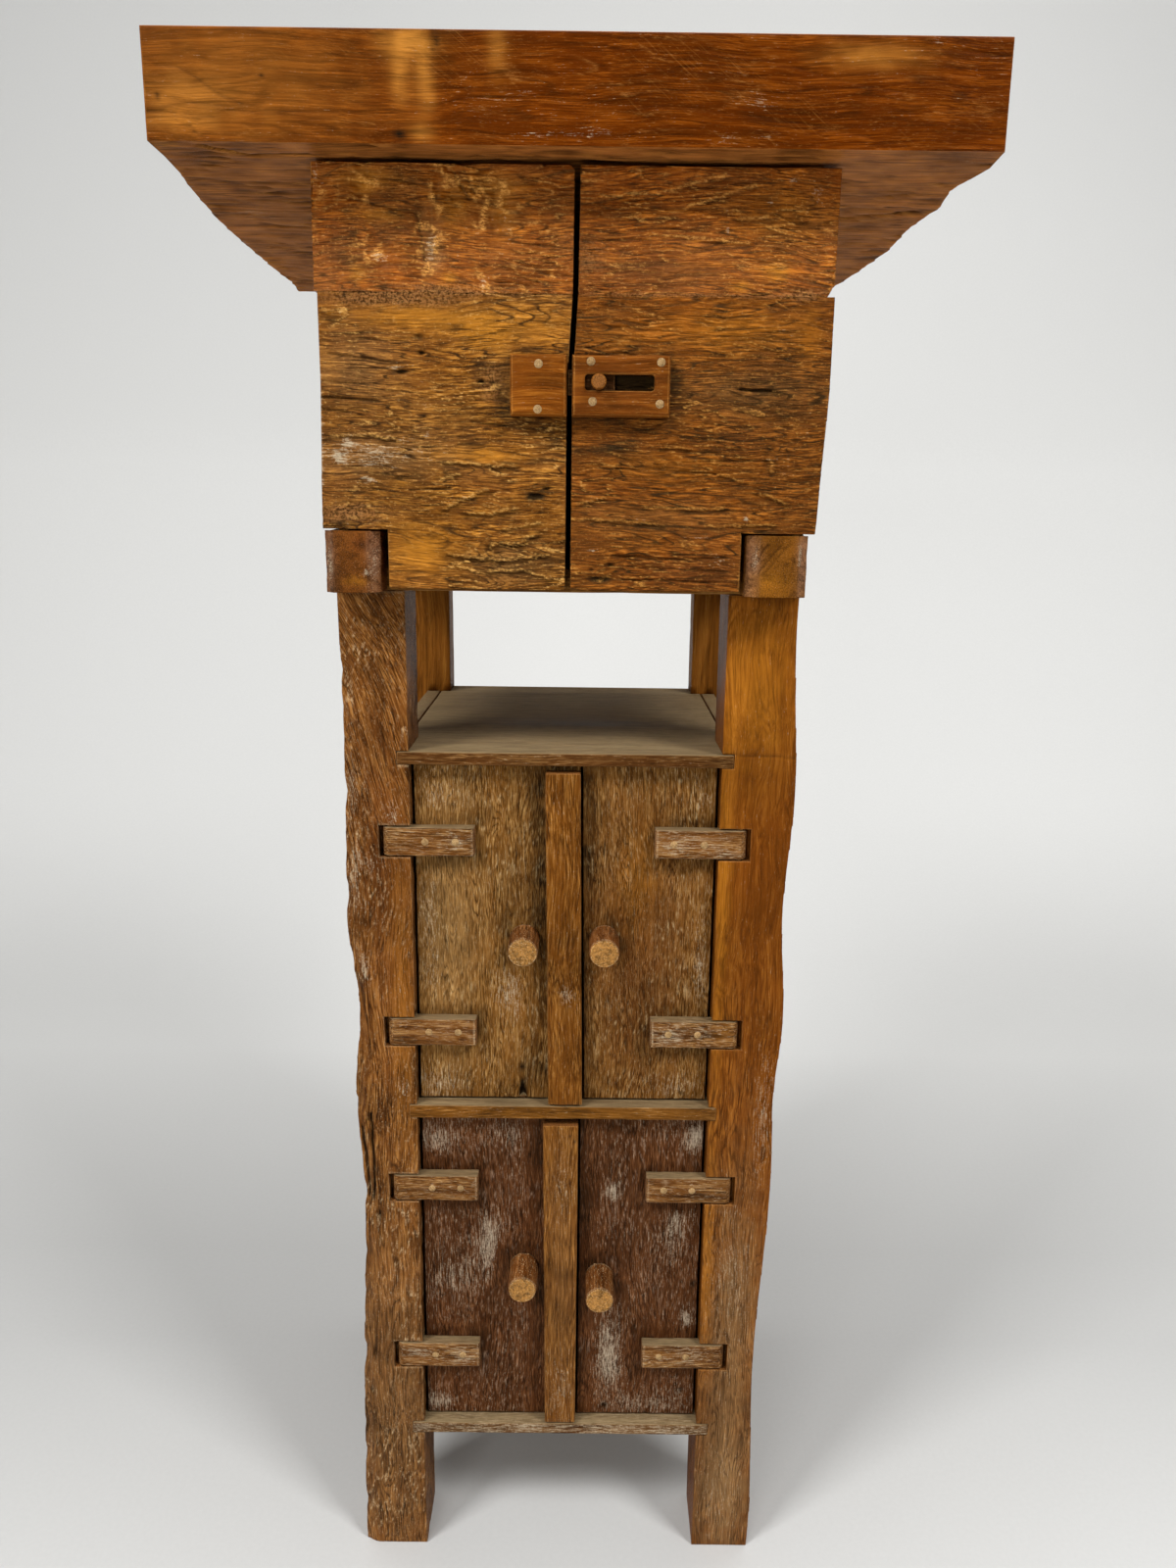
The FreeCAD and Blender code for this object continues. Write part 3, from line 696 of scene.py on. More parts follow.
        # Painted highlights on torn lips and burl tops.
        base = self.mix(self.times(self.lip, self.rise(self.speck, 0.42, 0.6, 0.05, 0.9)), base, edge)
        chalk = self.plus(self.lines, 0.45, self.times(self.grit, 0.2))
        chalk = self.plus(self.speck, 0.35, chalk)
        chalk = self.plus(self.pale, 0.16, chalk)
        chalk = self.plus(self.low, -0.1, chalk)
        self.chalk = self.rise(chalk, 0.59, 0.72, 0.0, 0.9)
        base = self.mix(self.chalk, base, tone(self.finish.pale))
        return self.mix(self.times(self.worn, self.rise(self.speck, 0.35, 0.65, 0.1, 0.8)), base, edge)

    def dusted(self, base):
        """Dust on what looks up, thinner on stains and painted shade."""
        film = self.times(self.upward, self.rise(self.streaks, 0.3, 0.6, 0.6, 1.0))
        self.film = self.times(film, self.rise(self.dark, 0.0, 1.0, 1.0, 0.4))
        dust = self.brightened(tone(self.finish.dust), self.rise(self.lines, 0.25, 0.75, 0.6, 1.4))
        return self.mix(self.film, base, dust)

    def add_surface(self, base):
        """Colour, roughness, fine relief, and a warm sheen that undersides lack."""
        finish = self.finish
        rough = self.plus(self.lines, 0.25, finish.gloss - 0.12)
        rough = self.plus(self.chalk, 0.3, rough)
        rough = self.plus(self.film, 0.4, rough)
        height = self.plus(self.fissures, -0.7, self.times(self.lines, self.lively))
        height = self.plus(self.times(self.speck, self.lively), 0.6, height)
        height = self.plus(self.times(self.decay, self.grit), 1.5, height)
        relief = self.add("ShaderNodeBump", {"Strength": finish.bump, "Distance": self.BUMP_HEIGHT,
                                             "Height": height})
        turned = self.add("ShaderNodeNewGeometry", {}).outputs["Normal"]
        upright = self.add("ShaderNodeSeparateXYZ", {0: turned}).outputs[Z]
        sheen = self.rise(upright, -0.9, -0.4, 0.1 * finish.sheen, finish.sheen)
        self.finish_with(Base_Color=base, Roughness=rough, Normal=relief.outputs[0],
                         Specular_IOR_Level=sheen, Specular_Tint=self.WARM_SHEEN)


UPPER_WOOD = dict(fibre=(9, 1.3), contrast=2.2, speckle=(2.0, 1.1), fleck=0.6, rings=150.0, bump=1.0)
DOOR_WOOD = dict(fibre=(9, 0.6), broad=0.3, seam=0.6, rings=200.0, bump=1.0)
FINISHES = {
    "slab": Finish(
        "321200", "542100", "8c480c", gold="b8782e", grey="d78c46", edge="b87a38", gloss=0.4, bump=0.4,
        fibre=(30, 0.7), contrast=1.5, streak=(150, 5), broad=0.3, fissure=0.2, rings=60.0, saw=0.15,
        sheen=0.06),
    "upper_top": Finish(
        "421a02", "7e3a05", "cc7622", **UPPER_WOOD, groove="261004", rot="9c6a3c", edge="dc9c4c", gloss=0.33,
        seam=0.9, sheen=0.45),
    "upper_left": Finish(
        "381802", "744009", "c88632", **UPPER_WOOD, groove="241004", rot="9c6a3c", edge="dca658", gloss=0.4,
        seam=1.0, sheen=0.3),
    "upper_right": Finish(
        "2e1402", "683101", "b06820", **UPPER_WOOD, groove="1e0c02", rot="8a5a32", gold="9c5c12",
        grey="674522", edge="c48a40", gloss=0.4, seam=1.0, sheen=0.3),
    "left_bearer": Finish("42200a", "6f3b14", "a8733c", end="6c3c14", grey="8a6248", edge="a8805c"),
    "right_bearer": Finish("4c270b", "84501a", "b07c40", end="6c400f", grey="8a6248", edge="b08a60"),
    "left_post": Finish(
        "2c1404", "724219", "b07a3e", edge="d0b084", fibre=(18, 0.8), contrast=2.5, speckle=(2.2, 1.2),
        fissure=0.8, fleck=0.4, seam=0.6, rings=120.0, bump=1.0),
    "right_post": Finish(
        "401e04", "6b370a", "965c1e", grey="80603c", gloss=0.45, fibre=(22, 0.6), contrast=2.8,
        streak=(170, 6), broad=0.5, fissure=0.6, seam=0.6, rings=120.0),
    "rear_post": Finish(
        "553009", "7e4a16", "a06a28", fibre=(60, 1.1), contrast=1.3, streak=(170, 6), broad=0.5, fissure=0.2,
        fleck=0.1),
    "shelf": Finish("2e1808", "522f12", "8a6438", fibre=(14, 0.8), contrast=2.1, fissure=0.6),
    "carcase": Finish("4e2f12", "744a20", "9c7038"),
    "strap": Finish(
        "321808", "72451c", "b88c56", edge="dcc09a", fibre=(14, 0.7), contrast=2.6, fleck=0.6, fissure=0.6,
        bump=1.0),
    "strip": Finish(
        "361a06", "6d3e0f", "a67234", gloss=0.45, fibre=(20, 0.6), contrast=2.7, streak=(110, 4), seam=0.5,
        rings=120.0),
    "knob": Finish(
        "3c1e0a", "6c3c16", "9a683a", end="966a36", edge="e8cc9c", fibre=(11, 1.6), speckle=(1.6, 0.9),
        fleck=0.9),
    "peg": Finish("806a48", "a08860", "c0a880", end="a0845c", fissure=0.2),
    "dowel": Finish("7a5128", "946635", "b38445", end="98703d"),
    "latch": Finish(
        "431d02", "70390a", "a2621c", edge="c89048", gloss=0.42, bump=0.4, fissure=0.3, broad=0.5,
        fibre=(30, 0.9), contrast=1.6),
    "bolt": Finish("1c0d04", "2c1608", "42240f"),
    "middle_door": Finish(
        "361e08", "7c4f1e", "bc9256", **DOOR_WOOD, grey="987242", edge="d4b684", gloss=0.58, contrast=2.5,
        speckle=(3.5, 0.6), fissure=0.4, fleck=0.35),
    "lower_door": Finish(
        "1e0c05", "563017", "885a38", **DOOR_WOOD, pale="b8a78f", edge="a88a72", gloss=0.55, contrast=2.6,
        speckle=(5, 0.6), fleck=0.25),
}
WOODS = {wood: Teak(f"{wood}_teak", finish).material for wood, finish in FINISHES.items()}


def left_post_drift(points):
    """The left post's grain leans more and more above mid height."""
    lean_from, lean = 560.0, 0.00136
    return lean * np.maximum(points[:, Z] - lean_from, 0) ** 2


def outer_edge(points):
    """How far out a post reaches at the height of each point."""
    step = 10.0
    heights = np.arange(0, points[:, Z].max() + step, step)
    reach = np.abs(points[:, X])
    edge = [reach[np.abs(points[:, Z] - height) <= step].max() for height in heights]
    return np.interp(points[:, Z], heights, edge)


def live_edge(points):
    """Rounds a post's outer front edge, as the tree left it, with chips."""
    width, depth, reach = 14.0, 4.5, 22.0
    chip_depth, chip_width, chip_seed = 2.5, 1.4, 5
    front = points[:, Y].min()
    near = fade(np.abs(points[:, X]), outer_edge(points) - width, outer_edge(points))
    near = near ** 2 * np.clip(1 - (points[:, Y] - front) / reach, 0, 1)
    along = np.stack([np.zeros(len(points)), points[:, Y] / 30, points[:, Z] / 24], axis=1)
    chips = noise(along, chip_seed)
    moved = points.copy()
    moved[:, Y] += near * (depth + chip_depth * chips)
    moved[:, X] -= np.sign(points[:, X]) * near * chip_width * fade(chips, 0.0, 0.5)
    return moved


def rounded(points):
    """Rounds the edges where the points come close to two sides of their box."""
    radius = 3.5
    low, high = points.min(axis=0), points.max(axis=0)
    moved = points.copy()
    for pair in ([X, Z], [Y, Z]):
        flat = moved[:, pair]
        sides = np.sign(flat - (low + high)[pair] / 2)
        over = radius - np.minimum(flat - low[pair], high[pair] - flat)
        reach = np.linalg.norm(over, axis=1)
        corner = (over > 0).all(axis=1) & (reach > radius)
        pull = 1 - radius / np.maximum(reach, radius)
        moved[np.ix_(corner, pair)] -= (sides * over * pull[:, None])[corner]
    return moved


UPPER = dict(axis=X, cells=(4, 6, 2), fine=2, furrow=Relief(40, 3.6, 0.8), bend=Wave(110, 6.0),
             tight=(Z, 964.5), slot="upper_door", grey=0.15, red=0.3)
BEARER = dict(axis=Y, cells=(2.0, 5, 2.0), fine=1, lump=Wave(14, 1.2), wear=1.6, slot="bearer")
REAR_POST = Timber("rear_post", Z, (3, 4, 8), wear=0.8)
LATCH = Timber("latch", X, (2, 3, 1.5), furrow=Relief(60, 4, 0.15), wear=0.5)
TIMBERS = {
    "top_slab": Timber("slab", X, (5, 3.5, 2.0), fine=1, furrow=Relief(90, 6, 0.15),
                       flake=Relief(130, 15, 0.2), lump=Wave(70, 0.4), under=5.0, shape=rounded),
    "upper_left_door_top_board": Timber("upper_top", **UPPER, flake=Relief(40, 8, 1.4)),
    "upper_left_door_bottom_board": Timber("upper_left", **UPPER, flake=Relief(45, 7, 1.2)),
    "upper_right_door_top_board": Timber("upper_top", **UPPER, flake=Relief(50, 7, 1.0)),
    "upper_right_door_bottom_board": Timber("upper_right", **UPPER, flake=Relief(45, 7, 1.2)),
    "bearer_left": Timber("left_bearer", **BEARER),
    "bearer_right": Timber("right_bearer", **BEARER),
    "front_post_left": Timber("left_post", Z, (2, 3.2, 5), fine=1, furrow=Relief(45, 3.6, 0.6),
                              flake=Relief(40, 8, 0.9), bend=Wave(80, 5.0), pale=0.15,
                              drift=left_post_drift, shape=live_edge),
    "front_post_right": Timber("right_post", Z, (2, 3.2, 2.5), fine=1, furrow=Relief(90, 6, 0.2),
                               lump=Wave(40, 0.5), bend=Wave(80, 5.0)),
    "rear_post_left": REAR_POST,
    "rear_post_right": REAR_POST,
    "open_shelf": Timber("shelf", X, (5, 4, 1.5), dust=1.0, pale=0.15),
    "middle_shelf": Timber("shelf", X, (5, 8, 1.5), dust=0.9, pale=0.2),
    "bottom_shelf": Timber("shelf", X, (5, 8, 1.5), dust=0.9, wear=1.6, pale=0.8, grey=0.6),
    "latch_keeper": LATCH,
    "latch_housing": LATCH,
    "latch_bolt": Timber("bolt", X, (3, 3, 3), furrow=Relief(60, 4, 0.1), wear=0.3, slot="latch"),
    "latch_peg": Timber("latch", Y, (1, 2, 1), furrow=Relief(40, 3, 0.1), wear=0.2),
}
# Timbers of the other pieces, by the last of these words in their names
GROUPS = {
    "panel": Timber("carcase", Z, (6, 6, 10), dust=1.0),
    "side": Timber("carcase", Y, (6, 6, 6)),
    "back": Timber("carcase", X, (8, 6, 6)),
    "floor": Timber("carcase", X, (8, 8, 6)),
    "strip": Timber("strip", Z, (1.5, 3, 5), furrow=Relief(70, 4, 0.25), pale=0.15),
    "strap": Timber("strap", X, (3, 2.4, 1.2), furrow=Relief(40, 3.5, 0.35), flake=Relief(40, 8, 0.3),
                    dust=0.9, pale=0.35),
    "knob": Timber("knob", Y, (1.4, 3, 1.4), furrow=Relief(40, 5, 0.25), lump=Wave(10, 0.6), wear=0.5),
    "pegs": Timber("peg", Y, None, furrow=Relief(40, 3, 0.05), wear=0.1),
    "dowels": Timber("dowel", Z),
    "pins": Timber("dowel", Z),
    "pivots": Timber("dowel", Z),
}
DOOR = dict(axis=Z, cells=(2, 5, 5), fine=1, furrow=Relief(30, 2.6, 0.6), flake=Relief(40, 6, 0.5))
MIDDLE_DOOR = Timber("middle_door", **DOOR, pale=0.25)
LOWER_DOOR = Timber("lower_door", **DOOR, pale=0.45)


# What the photo shows on each piece, in places (u, v) on its front or on its level faces.
# A spot is its place, its half sizes and how strong it is.
# A crack is its width, its depth and its paths; a ledge is its drop, its reach and its paths.
# A ledge is a torn lip: below it the surface drops, and rises again over its reach; its lip gets a painted
# highlight and its drop painted shade.
FRONT_MARKS = {
    "top_slab": dict(
        # The broad warm spot at the left, (-190, 1072), is a painted highlight.
        warm=[(-91, 1094, 13, 8, 1.2), (-96, 1078, 5, 14, 0.7), (-82, 1076, 5, 16, 0.8),
            (-41, 1090, 6, 12, 0.5), (-85, 1046, 7, 5, 0.6), (-220, 1064, 26, 9, 0.4),
            (-225, 1050, 22, 6, 0.4), (172, 1088, 26, 6, 0.6), (-190, 1072, 75, 40, 0.3)],
        calm=[(172, 1088, 28, 7, 0.8), (-91, 1092, 14, 9, 0.6), (-190, 1076, 75, 40, 0.6)],
        pale=[(-8, 1046, 22, 3, 0.5), (20, 1047, 14, 4, 0.4), (91, 1045, 7, 3, 0.4),
            (-30, 1062, 50, 8, 0.15), (110, 1064, 8, 5, 0.5), (208, 1096, 4, 2, 0.8)],
        dark=[(-97, 1044.5, 3, 2.5, 1.4), (-76, 1094, 2, 5, 0.6), (-175, 1074, 1.5, 1, 1.2),
            (-235, 1063, 1, 2, 1), (199, 1076, 5, 2, 0.8), (224, 1068, 5, 2.5, 0.8)],
        crack=[(0.7, 0.8, ((-236, 1079), (-222, 1078), (-211, 1072), (-200, 1064), (-187, 1060))),
            (0.6, 0.6, ((-243, 1065), (-220, 1060), (-200, 1059))),
            (0.6, 0.5, ((-243, 1055), (-205, 1053)),
                ((-10, 1063), (60, 1060.6), (120, 1055), (172, 1047)),
                ((71, 1091), (126, 1083), (147, 1077), (193, 1069)),
                ((125, 1099), (186, 1094), (251, 1089))),
            (0.6, 0.4, ((-195, 1056), (-160, 1056), (-103, 1055)), ((-74, 1052), (-30, 1056))),
            (0.8, 0.8, ((-218, 1048), (-213, 1043)), ((-78, 1099), (-74, 1092), (-79, 1087)))],
    ),
    "bearer_left": dict(
        # The grey and pale spots on the chamfers, at x -154 and -124, are worn wood and painted highlights.
        grey=[(-154, 800, 4, 26, 1), (-124, 800, 4.5, 26, 1)],
        pale=[(-154, 800, 3, 20, 0.9), (-124.5, 802, 3.5, 18, 0.7), (-130, 793, 3, 2.5, 1.2)],
        dark=[(-132, 812, 3, 3, 0.9), (-148, 793, 6, 5, 0.7), (-151, 783, 4, 2, 0.8)],
        red=[(-132, 812, 6, 5, 0.9)], warm=[(-136, 788, 8, 3, 0.6)],
    ),
    "bearer_right": dict(
        # The grey and pale spots on the chamfers, at x 154 and about 121, are worn wood and painted
        # highlights.
        grey=[(154, 800, 4, 26, 1), (120, 800, 5, 26, 1)],
        pale=[(151, 808, 2, 9, 1), (122, 806, 2, 10, 0.8)], warm=[(130, 790, 12, 8, 0.5)],
        crack=[(0.7, 0.9, ((124, 796), (138, 813)), ((121, 801), (130, 814))),
            (0.6, 0.7, ((128, 795), (143, 813))), (0.6, 0.6, ((146, 795), (149, 808)))],
    ),
    "upper_left_door_top_board": dict(
        lump=[(-85, 997, 6, 18, 5.5), (-45, 1010, 11, 14, 5), (-73, 1026, 8, 11, 5),
            (-124, 1027, 8, 9, 4.5), (-52, 972, 6, 6, 2), (-118, 985, 14, 10, 1.8),
            (-150, 1028, 10, 12, 2)],
        # The warm and pale spots on the burl lumps are painted highlights.
        warm=[(-124, 1027, 7, 8, 0.5), (-40, 1008, 8, 12, 0.5), (-70, 1012, 10, 12, 0.6),
            (-45, 1025, 22, 8, 0.5), (-73, 973, 4, 3, 1), (-130, 975, 5, 5, 0.7), (-115, 1008, 14, 4, 0.6),
            (-120, 1028, 24, 6, 0.5)],
        pale=[(-84, 991, 4.5, 11, 1), (-37, 1002, 4, 10, 0.7), (-152, 1030, 6, 8, 0.7),
            (-116, 985, 5, 5, 0.8), (-52.5, 970, 2.5, 5, 0.8), (-31, 970, 1.5, 5, 0.6)],
        red=[(-140, 985, 14, 15, 0.9), (-30, 985, 40, 12, 0.5)],
        dark=[(-92, 1012, 3, 5, 0.7), (-135, 1010, 3, 2, 1), (-81, 1017, 2.5, 2.5, 0.8)],
        grey=[(-84, 990, 6, 13, 0.9)], decay=[(-75, 967, 26, 2.6, 0.9), (-75, 964.5, 90, 1.2, 0.8)],
        crack=[(0.8, 1.6, ((-70, 1033), (-60, 1018))), (0.7, 1.2, ((-64, 1034), (-56, 1020))),
            (0.9, 1.6, ((-92, 1008), (-90, 995), (-88, 982))),
            (0.6, 1, ((-40, 994), (4, 990)), ((-140, 1018), (-92, 1009))),
            (0.6, 0.8, ((-132, 1032), (-80, 1024)))],
    ),
    "upper_left_door_bottom_board": dict(
        decay=[(-108, 960, 44, 4, 1), (-75, 964, 90, 1.2, 0.8), (-46, 912, 9, 9, 0.9),
            (-140, 831, 18, 6, 1.3)],
        red=[(-140, 831, 20, 7, 0.5), (-108, 960, 46, 4, 0.6)],
        warm=[(-88, 950, 44, 7, 0.9), (-52, 941, 18, 9, 0.9), (-93, 808, 19, 14, 1), (-52, 868, 24, 5, 0.8),
            (-20, 945, 22, 12, 0.5), (-106, 850, 5, 3, 0.7)],
        calm=[(-95, 808, 18, 15, 0.9), (-85, 949, 46, 7, 0.8), (-52, 868, 22, 5, 0.6)],
        grey=[(-130, 915, 30, 24, 0.6), (-118, 866, 40, 14, 0.8), (-35, 800, 36, 14, 0.5)],
        pit=[(-146, 948, 6, 2.5, 1.5), (-93, 938, 3, 1.8, 2), (-91.5, 929, 2.6, 1.1, 3),
            (-104, 918, 5, 1.3, 3), (-54, 912.5, 2.4, 1.3, 3), (-47, 912, 2, 1.2, 2), (-20, 843, 5, 2, 3.5),
            (-13, 848, 2.6, 1.2, 3), (-106, 853, 5, 1.6, 1.6)],
        # The thin dark line at (-20, 893), under the latch keeper, is painted shadow.
        dark=[(-22, 843, 9, 3, 0.7), (-59, 875, 7, 1.5, 0.9), (-7, 876, 6, 4, 0.9), (-12, 884, 14, 4, 0.45),
            (-143, 824.5, 9, 1.8, 1.2), (-40, 906, 5, 14, 0.5), (-20, 893, 20, 2, 0.6),
            (-40, 797, 26, 5, 0.3)],
        pale=[(-143, 951.5, 5, 1.5, 0.9), (-107, 920.5, 9, 1.5, 0.8), (-77, 936, 6, 1.2, 0.6),
            (-90, 911, 3, 1.5, 0.9), (-118, 868, 30, 10, 0.9), (-146, 866, 5, 4, 1.2),
            (-156, 900, 2.5, 75, 0.9), (-139, 876, 5, 5, 0.9), (-127, 852, 7, 2, 1.4),
            (-64, 840, 14, 4, 0.5), (-90, 898, 4, 2, 0.6), (-88, 880, 3, 3, 0.7)],
        ledge=[(1.8, 9, ((-77, 834.5), (-64, 841), (-51, 846.5)), ((-63, 832), (-48, 831), (-33, 836))),
            (1.8, 10, ((-48, 812), (-30, 813), (-22, 818))), (1.6, 5, ((-77, 855), (-68, 856))),
            (1.4, 7, ((-75, 863.5), (-52, 861), (-33, 861))),
            (1.6, 8, ((-75, 805), (-40, 802), (-12, 806))), (1.6, 7, ((-50, 795), (-30, 796), (-12, 791))),
            (1.2, 6, ((-148, 878), (-130, 879), (-110, 877)), ((-40, 822), (-18, 826))),
            (0.8, 6, ((-152, 953), (-138, 952)))],
        crack=[(0.7, 1.4, ((-100, 846), (-75, 847.5)), ((-156, 895), (-138, 893))),
            (0.7, 1.6, ((-156, 902), (-138, 901), (-118, 900))),
            (0.6, 1.2, ((-156, 912), (-125, 910)), ((-60, 888), (-30, 885))),
            (0.6, 1, ((-150, 928), (-110, 923)), ((-130, 938), (-98, 934)))],
    ),
    "upper_right_door_top_board": dict(
        pale=[(97, 1002, 1.5, 2.5, 1.4), (122, 1018, 2, 2, 1.2), (110, 1030, 1.5, 2, 1),
            (96, 1034, 2.5, 1.5, 1), (136, 1030, 3, 1.5, 1), (152, 1022, 6, 10, 0.6),
            (112, 1009, 10, 1.2, 0.6)],
        warm=[(106, 970, 6, 3, 0.8), (127, 979, 8, 5, 0.8), (130, 1010, 30, 20, 0.3)],
        red=[(45, 978, 45, 9, 0.8), (146, 966, 12, 3, 0.8)], dark=[(30, 1010, 8, 2, 0.5)],
        calm=[(45, 976, 45, 8, 0.5)],
        decay=[(75, 964.5, 90, 1.2, 0.8), (12, 985, 8, 8, 0.5), (146, 966, 12, 3, 0.9)],
        ledge=[(1.2, 6, ((104, 1009), (122, 1009))), (1, 5, ((60, 998), (110, 994))),
            (1, 6, ((20, 1019), (60, 1023), (95, 1033)), ((70, 1014), (112, 1027)))],
        crack=[(0.6, 1.2, ((20, 1013), (70, 1014), (120, 1012)), ((40, 1004), (85, 1001))),
            (0.5, 1, ((8, 995), (50, 996)))],
    ),
    "upper_right_door_bottom_board": dict(
        warm=[(105, 944, 38, 12, 0.9), (30, 938, 30, 8, 0.4), (150, 942, 6, 18, 0.6),
            (60, 862, 40, 8, 0.4)],
        calm=[(108, 946, 36, 9, 0.5), (151, 942, 6, 18, 0.8)],
        grey=[(110, 908, 50, 13, 0.7), (60, 830, 50, 10, 0.5)],
        # The thin dark line at (30, 893), under the latch housing, is painted shadow.
        dark=[(110, 908, 45, 12, 0.25), (67, 910, 6, 16, 0.5), (25, 872, 19, 3.5, 1.1),
            (32, 876, 8, 3, 0.8), (50, 884.5, 9, 1.5, 0.9), (98, 880, 18, 2.2, 0.6), (30, 893, 30, 2, 0.7),
            (33, 912, 24, 7, 2)],
        pit=[(22, 791, 9, 2.6, 2.8), (28.5, 800, 2.5, 1.2, 2.5), (16.5, 797, 1.6, 1, 2)],
        pale=[(33, 936, 7, 3, 0.7), (33, 937, 1.2, 1.2, 1.2), (115.5, 830, 1.6, 1.6, 1.6),
            (82, 818, 12, 0.9, 0.9), (98, 803, 9, 4, 0.6), (17, 809.5, 4, 1.5, 0.9), (14, 839, 9, 2.5, 0.5),
            (135, 860, 12, 10, 0.4)],
        red=[(75, 797, 38, 9, 0.6)], decay=[(75, 964, 90, 1, 0.8), (146, 963, 12, 2, 0.7)],
        crack=[(0.7, 2.2, ((108.5, 909.5), (128, 909))),
            (0.6, 1.4, ((30, 806), (70, 804), (104, 806)), ((20, 861), (60, 860), (95, 858))),
            (0.6, 1.2, ((40, 799), (105, 797)), ((35, 791), (104, 790)), ((90, 866), (135, 867)))],
        ledge=[(1.4, 6, ((62, 874), (76, 873)), ((129, 868), (131, 860)), ((100, 857), (112, 853))),
            (1.4, 7, ((124, 846), (140, 840))),
            (1.2, 6, ((50, 836), (100, 836)), ((8, 838), (24, 842)), ((10, 829), (60, 826))),
            (1.2, 5, ((26, 793), (22, 788))), (1, 6, ((90, 825), (135, 826)))],
    ),
    "front_post_left": dict(
        pale=[(-152, 640, 6, 40, 0.5), (-150, 574, 8, 30, 0.5), (-145, 506, 5, 14, 0.9),
            (-122, 625, 6, 10, 0.6), (-137, 588, 8, 10, 0.4), (-118, 412, 5, 10, 0.5),
            (-130, 200, 25, 160, 0.25), (-146, 600, 10, 70, 0.15)],
        grey=[(-133, 130, 40, 150, 0.8)], red=[(-135, 600, 14, 60, 0.4), (-122, 560, 14, 110, 0.5)],
        warm=[(-118, 480, 8, 120, 0.3)], calm=[(-119, 520, 14, 150, 0.7)],
        crack=[(0.9, 3, ((-144.1, 390), (-143, 356), (-142.7, 337), (-144.1, 318))),
            (1, 3, ((-151.6, 379), (-150.8, 368), (-148.8, 355), (-147.8, 333), (-148.6, 320)))],
        pit=[(-139, 305, 2, 5, 2), (-147, 183, 1.8, 7, 2), (-150, 146, 1.8, 5, 2)],
    ),
    "front_post_right": dict(
        pale=[(131, 240, 22, 90, 0.55), (131, 55, 24, 60, 0.45), (150, 390, 8, 60, 0.6)],
        grey=[(135, 200, 22, 130, 0.9), (131, 50, 30, 70, 0.9)],
        warm=[(113, 257, 5, 80, 0.4), (113, 560, 6, 120, 0.5), (133, 720, 25, 60, 0.5)],
        calm=[(133, 640, 80, 190, 1.3)],
        crack=[(0.7, 0.8, ((109, 669.6), (135, 669), (160, 668))),
            (0.7, 0.5, ((118, 440), (119, 480), (123, 496), (127, 480), (128, 440))),
            (0.7, 0.4, ((131, 470), (135, 495), (139, 503), (143, 492), (145, 465)))],
        dark=[(123, 467, 3, 8, 0.7)],
    ),
    "middle_left_door_panel": dict(
        pale=[(-88, 630, 20, 25, 0.4), (-97, 541, 8, 60, 0.5), (-40, 484, 10, 22, 0.7),
            (-92, 412, 18, 12, 0.6)],
        # The long dark spots beside the cover strip, at x -19 and -22, are painted shade.
        dark=[(-22, 645, 10, 20, 0.5), (-19, 580, 8, 60, 0.5), (-26, 420, 9, 12, 0.5),
            (-45, 565, 14, 22, 0.3)],
        pit=[(-31, 425, 2.2, 3, 2), (-30.5, 404, 2.4, 8, 5)], grey=[(-85, 540, 22, 100, 0.8)],
    ),
    "middle_right_door_panel": dict(
        pale=[(97, 635, 8, 18, 0.6), (100, 505, 5, 40, 0.6), (76, 474, 14, 10, 0.5),
            (85, 410, 20, 10, 0.5)],
        # The dark spot beside the cover strip, at x 18, is painted shade.
        dark=[(18, 609, 8, 60, 0.5)], red=[(55, 520, 40, 120, 0.8)], warm=[(52, 573, 14, 40, 0.4)],
    ),
    "lower_left_door_panel": dict(
        pale=[(-97, 363, 14, 14, 0.5), (-56, 274, 8, 22, 0.8), (-80, 247, 20, 20, 0.4),
            (-97, 129, 12, 8, 0.5), (-40, 370, 20, 10, 0.3)],
        dark=[(-25, 351, 10, 20, 0.3)],
    ),
    "lower_right_door_panel": dict(
        pale=[(102, 369, 8, 14, 0.8), (39, 322, 6, 8, 0.8), (37, 177, 10, 30, 0.7), (99, 205, 5, 14, 0.9),
            (89, 293, 10, 20, 0.5), (70, 130, 30, 10, 0.4)],
        dark=[(20, 300, 6, 40, 0.4)],
        pit=[(35, 126, 4, 3.5, 2.5), (103.5, 240, 2, 3, 2), (96, 141, 4, 3, 2), (73.5, 236, 2.5, 1.5, 1.5)],
    ),
    "middle_right_door_top_strap": dict(pale=[(84, 604, 18, 7, 0.5), (112, 598, 8, 4, 0.4)]),
    "middle_right_door_bottom_strap": dict(
        pale=[(78, 456, 12, 8, 0.6), (104, 460, 8, 5, 0.4)], warm=[(118, 458, 8, 8, 0.4)],
    ),
    "middle_left_door_top_strap": dict(pale=[(-78, 604, 8, 5, 0.6)]),
    "lower_left_door_bottom_strap": dict(pale=[(-78, 181, 12, 8, 0.5), (-112, 182, 10, 6, 0.4)]),
    "lower_right_door_bottom_strap": dict(pale=[(100, 181, 14, 8, 0.5)]),
    "middle_shelf": dict(warm=[(0, 394, 150, 10, 0.4)]),
    "latch_housing": dict(red=[(33, 910, 40, 25, 0.6)], dark=[(13.5, 925, 1.2, 1.4, 1.5)]),
    "middle_cover_strip": dict(
        # Dirt with painted shadow from the knobs makes the broad dark spot at knob height, (-1, 530).
        dark=[(-1, 530, 14, 8, 0.5), (7, 617, 1, 1.6, 1.5)],
        pale=[(2, 487, 6, 10, 0.6), (-4, 634, 5, 8, 0.3)],
    ),
    "lower_cover_strip": dict(
        # Dirt with painted shadow from the knobs makes the dark spot at knob height, (0, 254).
